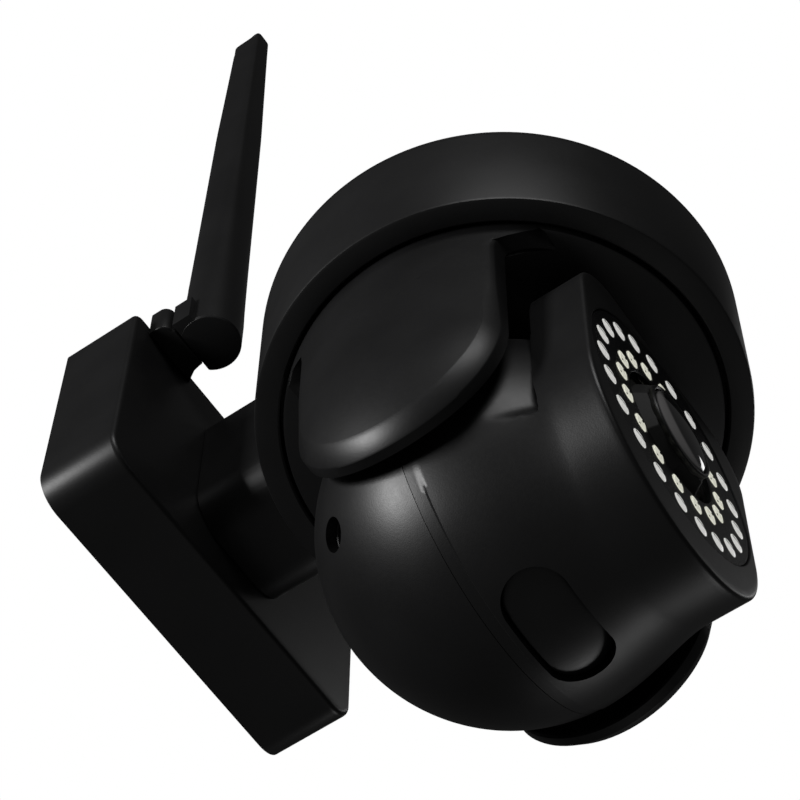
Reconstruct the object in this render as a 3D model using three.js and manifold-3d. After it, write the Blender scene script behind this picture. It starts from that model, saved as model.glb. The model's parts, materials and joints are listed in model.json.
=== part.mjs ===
// Outdoor pan-tilt dome camera on a wall box: three.js scene graph, millimetres, +Z up.
// Origin: centre of the wall box's back face. The wall is the plane Y = 0, the camera looks along -Y.
import * as THREE from "three";
import { mergeVertices } from "three/addons/utils/BufferGeometryUtils.js";
import Module from "manifold-3d";

const wasm = await Module();
wasm.setup();

// ---------------------------------------------------------------- driving dimensions
const GAP = 0.3; // between pieces that touch
const RUN = 0.3; // radial running clearance
const BOX = { width: 108, height: 77, depth: 24.5, corner: 9, wall: 2.5, edge: 1.6 };
const PLATE = { thick: 3, holeR: 2.6, holeX: 32, holeZ: 22, cableR: 9, cableX: 29 };
const SCREW = { shankR: 1.45, headR: 3, headH: 1.6, length: 12, inset: 9.5 };
const NECK = { halfWidth: 19.5, halfHeight: 24.5, z: -1.5, lowCorner: 12, topCorner: 4, boreR: 8, boreZ: -8 };
const NECK_BOLT = { x: 11.5, z: 13, shankR: 2, headR: 3.6, headH: 2.4, length: 18 };
const SADDLE = 20; // how far the neck runs forward over the cap's top
const CAP = { radius: 65, height: 42.5, bottom: -35.5, wall: 3, lip: 6.6, recess: 8, floor: 3 };
const COVER = { thick: 3, bevel: 2.2, lipHeight: 3, lipWidth: 2, screwR: 54 };
const NECK_REACH = 22; // clear length between the wall box and the cap
const YOKE = { gap: 1, disc: 5.5, wall: 5, halfLength: 29.3, flare: 10, hubR: 14.5, boreR: 9 };
const CHEEK = { lobeDrop: 48.3, tuck: 7 };
const BALL = { radius: 47.5, wall: 2.5, drop: 53.5, seam: 3 };
const SNOUT = { reach: 46.6, halfWidth: 37.4, top: 39.5, arcDrop: 9, corner: 15, wall: 2.4, front: 4 };
const BROW = { back: 31, low: -4 }; // the snout's upper part starts this far forward, down to this height
const LENS_RISE = 2; // optical axis above the tilt axis
const WINDOW = { radius: 35, boreR: 18, thick: 1.6, inset: 0.3, ledge: 1.6, holeGap: 0.5 };
const LED = { outerCount: 21, outerR: 30.1, innerCount: 16, innerR: 21.7, radius: 2.2, carrier: 1.3 };
const LENS = { barrelR: 9, length: 22, glassR: 11.4, proud: 2.8, rim: 1.1, skirtR: 15.5, flangeR: 18, dome: 1.6 };
const PAN_GEAR = { teeth: 36, pinionTeeth: 12, module: 1.6, width: 5 };
const TILT_GEAR = { teeth: 24, pinionTeeth: 12, module: 1.25, width: 4 };
const MESH_PLAY = 0.12; // extra gear centre distance
const PAN_MOTOR = { radius: 14, height: 18.5, earX: 21, earR: 3.5, earH: 1.2 };
const TILT_MOTOR = { radius: 10, length: 14 };
const SHAFT_R = 2.5;
const PIN = { radius: 6, flangeR: 9, flangeH: 1.8, bushR: 8.2, left: 22.5, right: 13, stubR: 5, stub: 3.5, clear: 2.7 };
const DOOR = { length: 34, width: 16, x: 2, y: -10.5, thick: 1.8, gap: 0.35 };
const CARD = { width: 11, thick: 0.9, length: 15 };
const SOCKET = { width: 14.5, thick: 2, height: 13 };
const BUTTON = { radius: 2, x: 13 };
const SERVICE = { width: 34, height: 21, thick: 1.2, z: -20, y: -3 };
const PORT = { radius: 4.3, depth: 3, x: -33.2, y: 28.6, z: -18.2 };
const SPEAKER = { radius: 7, thick: 4 };
const MAST = { x: -35.6, y: -37.2, baseR: 8.9, foot: 11.5, bottom: 33.5, length: 223, tipX: 7, tipY: 10.7 };
const MAST_SLANT = 8; // rise of the chisel tip from back to front
const KNUCKLE = { left: -48, right: -28.5, face: 7, pivotX: -39, neckLeft: -46.5, neckRight: -31.5 };
const PIVOT = { radius: 2, barbR: 2.8, barbH: 2.5, sunk: 4.5, reach: 9 };

// ---------------------------------------------------------------- places worked out from them
const PAN_Y = -(BOX.depth + NECK_REACH + CAP.radius);
const CAP_TOP = CAP.bottom + CAP.height;
const BALL_Z = CAP.bottom - BALL.drop;
const RECESS_Z = CAP.bottom + CAP.recess;
const FLOOR_TOP = RECESS_Z + CAP.floor;
const BASE_TOP = CAP_TOP - COVER.thick - GAP;
const RECESS_R = CAP.radius - CAP.lip;
const YOKE_R = RECESS_R - YOKE.gap;
const DISC_LOW = CAP.bottom - 0.5;
const LOBE_Z = DISC_LOW - CHEEK.lobeDrop;
const GEAR_Z = FLOOR_TOP + 1;
const FACE_Y = -BOX.depth;
const POST_X = BOX.width / 2 - SCREW.inset;
const POST_Z = BOX.height / 2 - SCREW.inset;
const PIVOT_Z = MAST.bottom + MAST.foot / 2;
const JOINT_Y = FACE_Y - KNUCKLE.face;

// ---------------------------------------------------------------- solids
// A closed three.js geometry as a manifold solid whose faces point outwards.
function solid(geometry) {
  const plain = geometry.index ? geometry.clone() : geometry;
  plain.deleteAttribute("normal");
  plain.deleteAttribute("uv");
  const merged = mergeVertices(plain, 1e-4);
  const position = merged.attributes.position.array;
  const index = merged.index.array;
  const kept = [];
  let volume = 0;
  const [a, b, c] = [new THREE.Vector3(), new THREE.Vector3(), new THREE.Vector3()];
  for (let i = 0; i < index.length; i += 3) {
    const [p, q, r] = [index[i], index[i + 1], index[i + 2]];
    if (p === q || q === r || r === p) continue;
    kept.push(p, q, r);
    a.fromArray(position, 3 * p);
    b.fromArray(position, 3 * q);
    c.fromArray(position, 3 * r);
    volume += a.dot(b.cross(c));
  }
  if (volume < 0) kept.reverse();
  const triVerts = new Uint32Array(kept);
  return new wasm.Manifold(new wasm.Mesh({ numProp: 3, vertProperties: position, triVerts }));
}

const join = (...solids) => solids.reduce((sum, s) => sum.add(s));
const cut = (body, ...tools) => tools.reduce((rest, tool) => rest.subtract(tool), body);

function mesh(name, body, material) {
  const { vertProperties, triVerts } = body.getMesh();
  const geometry = new THREE.BufferGeometry()
    .setAttribute("position", new THREE.BufferAttribute(vertProperties, 3))
    .setIndex(new THREE.BufferAttribute(triVerts, 1));
  geometry.computeVertexNormals();
  const made = new THREE.Mesh(geometry, material.clone());
  made.name = name;
  return made;
}

// Where a solid is put: its own +Z axis turned to lie along an axis of the part.
const TURN = {
  x: new THREE.Matrix4().makeBasis(...[[0, 1, 0], [0, 0, 1], [1, 0, 0]].map((v) => new THREE.Vector3(...v))),
  forward: new THREE.Matrix4().makeRotationX(Math.PI / 2), // own +Z to -Y, own +Y to +Z
  z: new THREE.Matrix4(),
};
const turned = (geometry, axis, x = 0, y = 0, z = 0) =>
  solid(geometry.applyMatrix4(TURN[axis]).translate(x, y, z));

const block = (sx, sy, sz, x, y, z) => solid(new THREE.BoxGeometry(sx, sy, sz).translate(x, y, z));

// A solid of revolution about its own Z axis from [radius, height] points; a ring's points close on themselves.
function lathe(points, segments = 36, closed = false) {
  const profile = points.map(([r, h]) => new THREE.Vector2(r, h));
  if (closed) profile.push(profile[0].clone());
  return new THREE.LatheGeometry(profile, segments).rotateX(Math.PI / 2);
}
const ring = (outer, inner, low, high, segments = outer > 20 ? 36 : 20) =>
  lathe([[inner, low], [outer, low], [outer, high], [inner, high]], segments, true);
const facets = (radius) => (radius > 20 ? 36 : radius > 9 ? 20 : radius > 4 ? 14 : 8);
const rod = (radius, low, high, segments = facets(radius)) =>
  lathe([[0, low], [radius, low], [radius, high], [0, high]], segments);

function extrude(shape, depth, options = {}) {
  return new THREE.ExtrudeGeometry(shape, { depth, bevelEnabled: false, curveSegments: 4, ...options });
}

function roundedRect(width, height, lowCorner, topCorner = lowCorner) {
  const [x, y] = [width / 2, height / 2];
  const shape = new THREE.Shape();
  shape.absarc(x - lowCorner, -y + lowCorner, lowCorner, -Math.PI / 2, 0);
  shape.absarc(x - topCorner, y - topCorner, topCorner, 0, Math.PI / 2);
  shape.absarc(-x + topCorner, y - topCorner, topCorner, Math.PI / 2, Math.PI);
  shape.absarc(-x + lowCorner, -y + lowCorner, lowCorner, Math.PI, 1.5 * Math.PI);
  shape.closePath();
  return shape;
}

const polygon = (points) => new THREE.Shape(points.map(([x, y]) => new THREE.Vector2(x, y)));

// A spur gear's outline; phase is the angle of one tooth's middle.
function gearOutline(teeth, module, phase) {
  const pitchR = (teeth * module) / 2;
  const [rootR, tipR] = [pitchR - 1.3 * module, pitchR + 0.9 * module];
  const half = 0.2 * Math.PI * module;
  const slope = Math.tan(THREE.MathUtils.degToRad(20));
  const rootHalf = (half + slope * 1.3 * module) / rootR;
  const tipHalf = (half - slope * 0.9 * module) / tipR;
  const points = [];
  for (let i = 0; i < teeth; i++) {
    const middle = phase + (2 * Math.PI * i) / teeth;
    for (const [r, turn] of [[rootR, -rootHalf], [tipR, -tipHalf], [tipR, tipHalf], [rootR, rootHalf]])
      points.push([r * Math.cos(middle + turn), r * Math.sin(middle + turn)]);
  }
  return polygon(points);
}

const screwGeometry = ({ shankR, headR, headH, length }) =>
  lathe([[0, 0], [headR, 0], [headR, headH], [shankR, headH], [shankR, length], [0, length]], 8);

const corners = (x, z) => [[x, z], [-x, z], [-x, -z], [x, -z]];
const neckBolts = [[NECK_BOLT.x, NECK_BOLT.z], [-NECK_BOLT.x, NECK_BOLT.z]];

// ---------------------------------------------------------------- finishes
const plastic = (color, roughness = 0.45) => new THREE.MeshStandardMaterial({ color, roughness, metalness: 0 });
const metal = (color, roughness = 0.35) => new THREE.MeshStandardMaterial({ color, roughness, metalness: 1 });
const shellBlack = plastic(0x101011);
const innerBlack = plastic(0x0a0a0b, 0.7);
const rubber = plastic(0x0c0c0c, 0.85);
const board = plastic(0x123a24, 0.5);
const steel = metal(0xb9bcc0);
const nylon = plastic(0xd9d6cc, 0.55);
const emitter = plastic(0xf3edd6, 0.25);
const smokedAcrylic = plastic(0x161718, 0.12);
const lensGlass = plastic(0x1b2028, 0.05);

// ---------------------------------------------------------------- wall box
function boxShell() {
  const past = 5;
  const outline = roundedRect(BOX.width - 2 * BOX.edge, BOX.height - 2 * BOX.edge, BOX.corner - BOX.edge);
  const bevel = { bevelEnabled: true, bevelSize: BOX.edge, bevelThickness: BOX.edge, bevelSegments: 1 };
  const body = turned(extrude(outline, BOX.depth + past - 2 * BOX.edge, bevel), "forward", 0, past - BOX.edge, 0);
  const behindWall = block(2 * BOX.width, 2 * past, 2 * BOX.height, 0, past, 0);
  const inner = roundedRect(BOX.width - 2 * BOX.wall, BOX.height - 2 * BOX.wall, BOX.corner - BOX.wall);
  const cavity = turned(extrude(inner, BOX.depth - BOX.wall + past), "forward", 0, past, 0);
  const postFoot = PLATE.thick + GAP;
  const posts = corners(POST_X, POST_Z).map(([x, z]) =>
    turned(rod(4, 0, BOX.depth - postFoot - BOX.wall / 2), "forward", x, -postFoot, z));
  const pilots = corners(POST_X, POST_Z).map(([x, z]) =>
    turned(rod(SCREW.shankR + GAP, -1, SCREW.length), "forward", x, -postFoot, z));
  const boltHoles = neckBolts.map(([x, z]) =>
    turned(rod(NECK_BOLT.shankR + GAP, 0, 2 * past), "forward", x, FACE_Y + past, z));
  const wireHole = turned(rod(NECK.boreR, 0, 2 * past), "forward", 0, FACE_Y + past, NECK.boreZ);
  const aerialHole = turned(rod(PIVOT.radius + 2 * GAP, 0, 2 * past), "forward", KNUCKLE.pivotX, FACE_Y + past,
    PIVOT_Z - MAST.foot / 2);
  const standoffs = corners(26, 14).map(([x, z]) =>
    turned(rod(2.5, 0, 8), "forward", x, FACE_Y + BOX.wall / 2 + 8, z));
  return cut(join(cut(body, behindWall, cavity), ...posts, ...standoffs), ...pilots, ...boltHoles, wireHole,
    aerialHole);
}

function wallPlate() {
  const margin = 2 * (BOX.wall + GAP);
  const outline = roundedRect(BOX.width - margin, BOX.height - margin, BOX.corner - BOX.wall - GAP);
  const past = 1;
  const hole = (radius, x, z) => turned(rod(radius, -past, PLATE.thick + past), "forward", x, 0, z);
  const sink = (x, z) => turned(rod(SCREW.headR + GAP, -past, SCREW.headH + GAP), "forward", x, 0, z);
  return cut(turned(extrude(outline, PLATE.thick), "forward"), hole(PLATE.cableR, PLATE.cableX, 0),
    ...corners(PLATE.holeX, PLATE.holeZ).map(([x, z]) => hole(PLATE.holeR, x, z)),
    ...corners(POST_X, POST_Z).flatMap(([x, z]) => [hole(SCREW.shankR + GAP, x, z), sink(x, z)]));
}

// Rubber grommet that lines the cable hole: flanges inside and a groove for the plate's edge.
function grommet() {
  const [groove, flange, bore] = [PLATE.cableR - GAP, PLATE.cableR + 2.5, 4];
  const inside = PLATE.thick + GAP;
  return turned(lathe([[bore, 0.2], [groove, 0.2], [groove, inside], [flange, inside], [flange, inside + 2],
    [bore, inside + 4]], 16, true), "forward", PLATE.cableX, 0, 0);
}

function powerBoard() {
  const depthAt = FACE_Y + BOX.wall / 2 + 8 + GAP;
  const base = block(60, 1.6, 36, 0, depthAt + 0.8, 0);
  const terminals = block(24, 6, 8, 0, depthAt + 4, -12);
  const coil = turned(rod(6, 0, 7.4, 16), "forward", -17, depthAt + 9, 6);
  return join(base, terminals, coil);
}

// ---------------------------------------------------------------- neck between box and cap
function neck() {
  const length = NECK_REACH + CAP.radius;
  const outline = roundedRect(2 * NECK.halfWidth, 2 * NECK.halfHeight, NECK.lowCorner, NECK.topCorner);
  const bar = turned(extrude(outline, length), "forward", 0, FACE_Y - GAP, NECK.z);
  const [rear, front] = [FACE_Y, PAN_Y + CAP.radius - SADDLE];
  const [low, high] = [NECK.z - NECK.halfHeight, NECK.z + NECK.halfHeight];
  const side = polygon([[rear + 1, low - 1], [rear + 1, high + 1], [front + SADDLE + 2, high + 1],
    [front + SADDLE - 4, high - 3], [front + 6, CAP_TOP + 5], [front, CAP_TOP + 1.5], [front, low - 1]]);
  const wedge = turned(extrude(side, 4 * NECK.halfWidth), "x", -2 * NECK.halfWidth, 0, 0);
  const capSeat = turned(rod(CAP.radius + GAP, CAP.bottom - 10, CAP_TOP + GAP), "z", 0, PAN_Y, 0);
  const bore = turned(rod(NECK.boreR, -5, length), "forward", 0, FACE_Y, NECK.boreZ);
  const pilots = neckBolts.map(([x, z]) =>
    turned(rod(NECK_BOLT.shankR + GAP, -2, NECK_BOLT.length - 3), "forward", x, FACE_Y, z));
  return cut(bar.intersect(wedge), capSeat, bore, ...pilots);
}

// ---------------------------------------------------------------- cap
function capBase() {
  const [R, wall] = [CAP.radius, CAP.wall];
  const hubHole = YOKE.hubR + RUN + 5;
  const shell = turned(lathe([[RECESS_R, CAP.bottom], [R - 0.8, CAP.bottom], [R, CAP.bottom + 0.8],
    [R, BASE_TOP], [R - wall, BASE_TOP], [R - wall, FLOOR_TOP], [hubHole, FLOOR_TOP], [hubHole, RECESS_Z],
    [RECESS_R, RECESS_Z]], 40, true), "z", 0, PAN_Y, 0);
  const posts = coverScrewPlaces().map(([x, y]) =>
    turned(rod(3.5, FLOOR_TOP - 1, BASE_TOP), "z", x, y, 0));
  const pilots = coverScrewPlaces().map(([x, y]) =>
    turned(rod(SCREW.shankR + GAP, BASE_TOP - SCREW.length, BASE_TOP + 1, 8), "z", x, y, 0));
  const boardPosts = boardPostPlaces().map(([x, y]) =>
    turned(rod(2.5, FLOOR_TOP - 1, BOARD_Z - GAP, 8), "z", x, y, 0));
  const wireHole = turned(rod(NECK.boreR, 0, 20), "forward", 0, PAN_Y + R + 10, NECK.boreZ);
  return cut(join(shell, ...posts, ...boardPosts), ...pilots, wireHole);
}

const coverScrewPlaces = () => [60, 180, 300].map((angle) => {
  const turn = THREE.MathUtils.degToRad(angle);
  return [COVER.screwR * Math.cos(turn), PAN_Y + COVER.screwR * Math.sin(turn)];
});

const BOARD_Z = GEAR_Z + PAN_GEAR.width + 12;
const boardPostPlaces = () => [[-30, 26], [-30, -26], [6, -42]].map(([x, y]) => [x, PAN_Y + y]);

function capCover() {
  const [R, b, low] = [CAP.radius, COVER.bevel, CAP_TOP - COVER.thick];
  const lipR = R - CAP.wall - GAP;
  const disc = turned(lathe([[0, low], [lipR - COVER.lipWidth, low], [lipR - COVER.lipWidth, low - COVER.lipHeight],
    [lipR, low - COVER.lipHeight], [lipR, low], [R, low], [R, CAP_TOP - b], [R - 0.3 * b, CAP_TOP - 0.3 * b],
    [R - b, CAP_TOP], [0, CAP_TOP]], 40), "z", 0, PAN_Y, 0);
  const holes = coverScrewPlaces().flatMap(([x, y]) => [
    turned(rod(SCREW.shankR + GAP, low - 5, CAP_TOP + 1, 8), "z", x, y, 0),
    turned(rod(SCREW.headR + GAP, CAP_TOP - SCREW.headH - 0.2, CAP_TOP + 1, 10), "z", x, y, 0),
  ]);
  const postRoom = coverScrewPlaces().map(([x, y]) => turned(rod(4, low - 9, low - GAP / 2, 10), "z", x, y, 0));
  return cut(disc, ...holes, ...postRoom);
}

function mainBoard() {
  const radius = 48;
  const edgeX = 20;
  const disc = turned(ring(radius, YOKE.hubR + 2, BOARD_Z, BOARD_Z + 1.6, 20), "z", 0, PAN_Y, 0);
  const room = block(2 * radius, 4 * radius, 20, edgeX + radius, PAN_Y, BOARD_Z);
  const connectors = block(14, 6, 5, -20, PAN_Y + 32, BOARD_Z + 3.6);
  return join(cut(disc, room), connectors);
}

function heatSink() {
  const foot = BOARD_Z + 1.6 + GAP;
  const fins = [-9, -3, 3, 9].map((x) => block(1.4, 20, 5, x - 28, PAN_Y - 10, foot + 3.5));
  return join(block(20, 20, 1.5, -28, PAN_Y - 10, foot + 0.75), ...fins);
}

// ---------------------------------------------------------------- pan drive
const PAN_CENTRES = ((PAN_GEAR.teeth + PAN_GEAR.pinionTeeth) * PAN_GEAR.module) / 2 + MESH_PLAY;

function panGear() {
  const shape = gearOutline(PAN_GEAR.teeth, PAN_GEAR.module, Math.PI / PAN_GEAR.teeth);
  const bore = turned(rod(YOKE.hubR + GAP, -1, PAN_GEAR.width + 1, 32), "z");
  return cut(turned(extrude(shape, PAN_GEAR.width), "z"), bore);
}

function panPinion() {
  const shape = gearOutline(PAN_GEAR.pinionTeeth, PAN_GEAR.module, Math.PI);
  return join(turned(extrude(shape, PAN_GEAR.width), "z"),
    turned(rod(SHAFT_R, PAN_GEAR.width - 1, PAN_GEAR.width + 5, 12), "z"));
}

function panMotor() {
  const foot = PAN_GEAR.width + 1;
  const can = turned(rod(PAN_MOTOR.radius, foot, foot + PAN_MOTOR.height, 24), "z");
  const strap = block(2 * PAN_MOTOR.earR, 2 * PAN_MOTOR.earX, PAN_MOTOR.earH, 0, 0, foot + 1);
  const socket = turned(rod(SHAFT_R + RUN, foot - 1, foot + 5, 16), "z");
  return cut(join(can, strap), socket);
}

// ---------------------------------------------------------------- yoke
function yokeFrame() {
  const lobeLow = LOBE_Z - YOKE.halfLength;
  const outer = (z) => YOKE_R - CHEEK.tuck * Math.max(0, (LOBE_Z - z) / YOKE.halfLength) ** 2;
  const levels = [0, 0.5, 0.8, 1].map((t) => LOBE_Z + t * (lobeLow - LOBE_Z));
  const skirt = [[YOKE_R, DISC_LOW + 1], ...levels.map((z) => [outer(z), z]),
    ...levels.reverse().map((z) => [outer(z) - YOKE.wall, z]), [YOKE_R - YOKE.wall, DISC_LOW + 1]];
  const barrel = turned(lathe(skirt, 40, true), "z");
  const [half, flare] = [YOKE.halfLength, YOKE.flare];
  const mask = new THREE.Shape();
  mask.absarc(0, LOBE_Z, half, Math.PI, 2 * Math.PI);
  mask.absarc(half + flare, DISC_LOW - flare, flare, Math.PI, Math.PI / 2, true);
  mask.lineTo(half + flare, DISC_LOW + 5);
  mask.lineTo(-half - flare, DISC_LOW + 5);
  mask.absarc(-half - flare, DISC_LOW - flare, flare, Math.PI / 2, 0, true);
  mask.closePath();
  const cheeks = barrel.intersect(turned(extrude(mask, 4 * YOKE_R, { curveSegments: 9 }), "x", -2 * YOKE_R));
  const disc = turned(rod(YOKE_R, DISC_LOW, DISC_LOW + YOKE.disc), "z");
  const hub = turned(rod(YOKE.hubR, DISC_LOW + 1, GEAR_Z + PAN_GEAR.width + 2), "z");
  const bore = turned(rod(YOKE.boreR, DISC_LOW - 1, GEAR_Z + PAN_GEAR.width + 3), "z");
  const pinSeats = turned(rod(PIN.stubR + GAP, -PIN_FOOT - PIN.stub - GAP, PIN_FOOT + PIN.stub + GAP), "x", 0, 0,
    BALL_Z);
  return cut(join(disc, cheeks, hub), bore, pinSeats);
}

const panBearing = () => turned(ring(YOKE.hubR + RUN + 5 - GAP, YOKE.hubR + RUN, RECESS_Z, FLOOR_TOP, 20), "z");
const hubClip = () => {
  const low = GEAR_Z + PAN_GEAR.width + 2 + GAP;
  return turned(ring(YOKE.hubR + 3, YOKE.boreR, low, low + 1.5, 20), "z");
};

// The hollow pin that carries the ball on one cheek, along its own +Z from the cheek towards the ball's middle.
function tiltPin(length) {
  const bore = 3;
  return lathe([[bore, -PIN.stub], [PIN.stubR, -PIN.stub], [PIN.stubR, 0], [PIN.flangeR, 0],
    [PIN.flangeR, PIN.flangeH], [PIN.radius, PIN.flangeH], [PIN.radius, PIN.flangeH + length],
    [bore, PIN.flangeH + length]], 14, true);
}
const PIN_FOOT = YOKE_R - YOKE.wall - PIN.clear; // flange face, just inside the cheek

// ---------------------------------------------------------------- ball (own frame: origin on the tilt axis)
function snoutOutline(inset = 0) {
  const half = SNOUT.halfWidth - inset;
  const [top, corner] = [SNOUT.top - inset, SNOUT.corner - inset / 2];
  const shape = new THREE.Shape();
  shape.absarc(0, -SNOUT.arcDrop, half, Math.PI, 2 * Math.PI);
  shape.absarc(half - corner, top - corner, corner, 0, Math.PI / 2);
  shape.absarc(-half + corner, top - corner, corner, Math.PI / 2, Math.PI);
  shape.closePath();
  return shape;
}

const sphere = (radius) => turned(new THREE.SphereGeometry(radius, 30, 15), "forward");
const forwardOf = (y) => block(200, 200, 200, 0, y - 100, 0);
const behind = (y) => block(200, 200, 200, 0, y + 100, 0);

// The snout, thinner all round by inset: its lower part swells out of the ball along a cone, and its
// upper part stands proud of the ball only ahead of the brow.
function snoutBody(inset, reach) {
  const prism = turned(extrude(snoutOutline(inset), reach, { curveSegments: 9 }), "forward");
  const start = BALL.radius - 2 - inset * 1.2;
  const cone = turned(lathe([[0, 0], [start, 0], [start + 15, 15], [start + 15, reach + 5], [0, reach + 5]], 40),
    "forward");
  const upper = block(200, 100, 100, 0, 50 - BROW.back - inset, BROW.low - inset + 50);
  return cut(prism.intersect(cone), upper);
}
const ballHull = () => join(sphere(BALL.radius), snoutBody(0, SNOUT.reach));
const ballHollow = () => join(sphere(BALL.radius - BALL.wall), snoutBody(SNOUT.wall, SNOUT.reach - SNOUT.front));

const pinHoles = () => turned(rod(PIN.bushR + GAP, -60, 60), "x");
const doorOutline = (grow) => roundedRect(DOOR.length + 2 * grow, DOOR.width + 2 * grow, DOOR.width / 2 + grow - 0.01);
const doorWell = (grow) =>
  turned(extrude(doorOutline(grow), 25, { curveSegments: 3 }), "z", DOOR.x, DOOR.y, -BALL.radius - 5);

const portAxis = new THREE.Vector3(PORT.x, PORT.y, PORT.z).normalize();
function alongPort(geometry) {
  const turn = new THREE.Quaternion().setFromUnitVectors(new THREE.Vector3(0, 0, 1), portAxis);
  return solid(geometry.applyQuaternion(turn));
}

function ballFront() {
  const shell = cut(ballHull(), ballHollow(), behind(BALL.seam - GAP / 2));
  const seat = turned(rod(WINDOW.radius + GAP, WINDOW_FRONT - WINDOW.thick - GAP, 60, 32), "forward", 0, 0,
    LENS_RISE);
  const opening = turned(rod(WINDOW.radius - WINDOW.ledge, 30, 60, 32), "forward", 0, 0, LENS_RISE);
  return cut(shell, seat, opening, pinHoles(), doorWell(DOOR.gap));
}

function ballRear() {
  const shell = cut(sphere(BALL.radius), sphere(BALL.radius - BALL.wall), forwardOf(BALL.seam + GAP / 2));
  const boss = alongPort(rod(PORT.radius + 1.5, BALL.radius - 6, BALL.radius - 1, 12)).subtract(
    forwardOf(BALL.seam + 1));
  const hole = alongPort(rod(PORT.radius, BALL.radius - 8, BALL.radius + 5, 12));
  return cut(join(shell, boss), hole, pinHoles());
}

const portMesh = () => alongPort(rod(PORT.radius - GAP, BALL.radius - PORT.depth - 1.2, BALL.radius - PORT.depth, 12));
const speaker = () => alongPort(rod(SPEAKER.radius, BALL.radius - 6.5 - SPEAKER.thick, BALL.radius - 6.5, 16));

const bushGeometry = () => ring(PIN.bushR, PIN.radius + RUN, BALL.radius - 4.5, BALL.radius - GAP, 14)
  .applyMatrix4(TURN.x);
const tiltBush = (side) => solid(side > 0 ? bushGeometry() : bushGeometry().rotateZ(Math.PI));

// ---------------------------------------------------------------- optics in the snout
const frontRing = (outer, inner, back, front, segments = 24) =>
  turned(ring(outer, inner, back, front, segments), "forward", 0, 0, LENS_RISE);
const WINDOW_FRONT = SNOUT.reach - WINDOW.inset;
const LED_FACE = WINDOW_FRONT - WINDOW.thick - GAP;
const LENS_FRONT = SNOUT.reach + LENS.proud;

// Places of a ring's lights round the optical axis, and a rod standing at each of them.
const ringPlaces = (count, radius) => Array.from({ length: count }, (_, i) => {
  const angle = (2 * Math.PI * i) / count + Math.PI / 2;
  return [radius * Math.cos(angle), LENS_RISE + radius * Math.sin(angle)];
});
const ringRods = (count, radius, rodR, back, front, segments) => ringPlaces(count, radius).map(([x, z]) =>
  turned(rod(rodR, back, front, segments), "forward", x, 0, z));

// The front window is a plate with a hole for each light and one for the lens.
function frontWindow() {
  const back = WINDOW_FRONT - WINDOW.thick;
  const holeR = LED.radius + WINDOW.holeGap;
  return cut(frontRing(WINDOW.radius, WINDOW.boreR, back, WINDOW_FRONT, 32),
    ...ringRods(LED.outerCount, LED.outerR, holeR, back - 1, SNOUT.reach, 8),
    ...ringRods(LED.innerCount, LED.innerR, holeR, back - 1, SNOUT.reach, 8));
}
const ledBoard = () => frontRing(WINDOW.radius - 2, LENS.barrelR + 2, LED_FACE - 3, LED_FACE - 1.6);

// An annular carrier whose lights reach through the window to the snout's face.
const ledRing = (count, radius, halfWidth) => join(
  frontRing(radius + halfWidth, radius - halfWidth, LED_FACE - LED.carrier, LED_FACE),
  ...ringRods(count, radius, LED.radius, LED_FACE - LED.carrier / 2, SNOUT.reach, 6));

const lensHood = () => {
  const foot = LED_FACE - LED.carrier;
  const boreR = LENS.barrelR + GAP;
  const seatR = LENS.glassR + GAP;
  return turned(lathe([[boreR, foot], [LENS.flangeR, foot], [LENS.flangeR, foot + 1], [LENS.skirtR, foot + 1],
    [seatR + LENS.rim, LENS_FRONT], [seatR, LENS_FRONT], [seatR, LENS_FRONT - 1.8], [boreR, LENS_FRONT - 1.8]], 20,
  true), "forward", 0, 0, LENS_RISE);
};
const lensBarrel = () => turned(lathe([[0, LED_FACE - LENS.length], [LENS.barrelR, LED_FACE - LENS.length],
  [LENS.barrelR, LENS_FRONT - 2.1], [LENS.barrelR - 1.5, LENS_FRONT - 2.1], [LENS.barrelR - 2.5, LENS_FRONT - 5],
  [0, LENS_FRONT - 5]], 18), "forward", 0, 0, LENS_RISE);
const lensFront = () => turned(lathe([[0, LENS_FRONT - 1.5], [LENS.glassR, LENS_FRONT - 1.5],
  [LENS.glassR, LENS_FRONT - 0.5], [LENS.glassR * 0.7, LENS_FRONT + LENS.dome * 0.5],
  [LENS.glassR * 0.35, LENS_FRONT + LENS.dome * 0.9], [0, LENS_FRONT + LENS.dome]], 16), "forward", 0, 0, LENS_RISE);
function sensorBoard() {
  const y = -(LED_FACE - LENS.length - GAP);
  return join(block(30, 1.6, 30, 0, y + 0.8, LENS_RISE), block(16, 3, 6, 0, y + 2.8, LENS_RISE - 9));
}

// ---------------------------------------------------------------- tilt drive in the ball
const TILT_CENTRES = ((TILT_GEAR.teeth + TILT_GEAR.pinionTeeth) * TILT_GEAR.module) / 2 + MESH_PLAY;
const TILT_GEAR_X = -(PIN_FOOT - PIN.flangeH - PIN.left + 0.5);

function tiltGear() {
  const shape = gearOutline(TILT_GEAR.teeth, TILT_GEAR.module, Math.PI / TILT_GEAR.teeth);
  const bore = turned(rod(PIN.radius + GAP, -1, TILT_GEAR.width + 1, 24), "x");
  return cut(turned(extrude(shape, TILT_GEAR.width), "x"), bore);
}

function tiltPinion() {
  const shape = gearOutline(TILT_GEAR.pinionTeeth, TILT_GEAR.module, Math.PI);
  return join(turned(extrude(shape, TILT_GEAR.width), "x"),
    turned(rod(SHAFT_R, TILT_GEAR.width - 1, TILT_GEAR.width + 5, 12), "x"));
}

function tiltMotor() {
  const foot = TILT_GEAR.width + 1;
  return cut(turned(rod(TILT_MOTOR.radius, foot, foot + TILT_MOTOR.length, 20), "x"),
    turned(rod(SHAFT_R + RUN, foot - 1, foot + 5, 16), "x"));
}

// ---------------------------------------------------------------- service bay under the ball
function sdDoor() {
  const skin = cut(sphere(BALL.radius), sphere(BALL.radius - DOOR.thick));
  return skin.intersect(doorWell(0));
}

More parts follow.
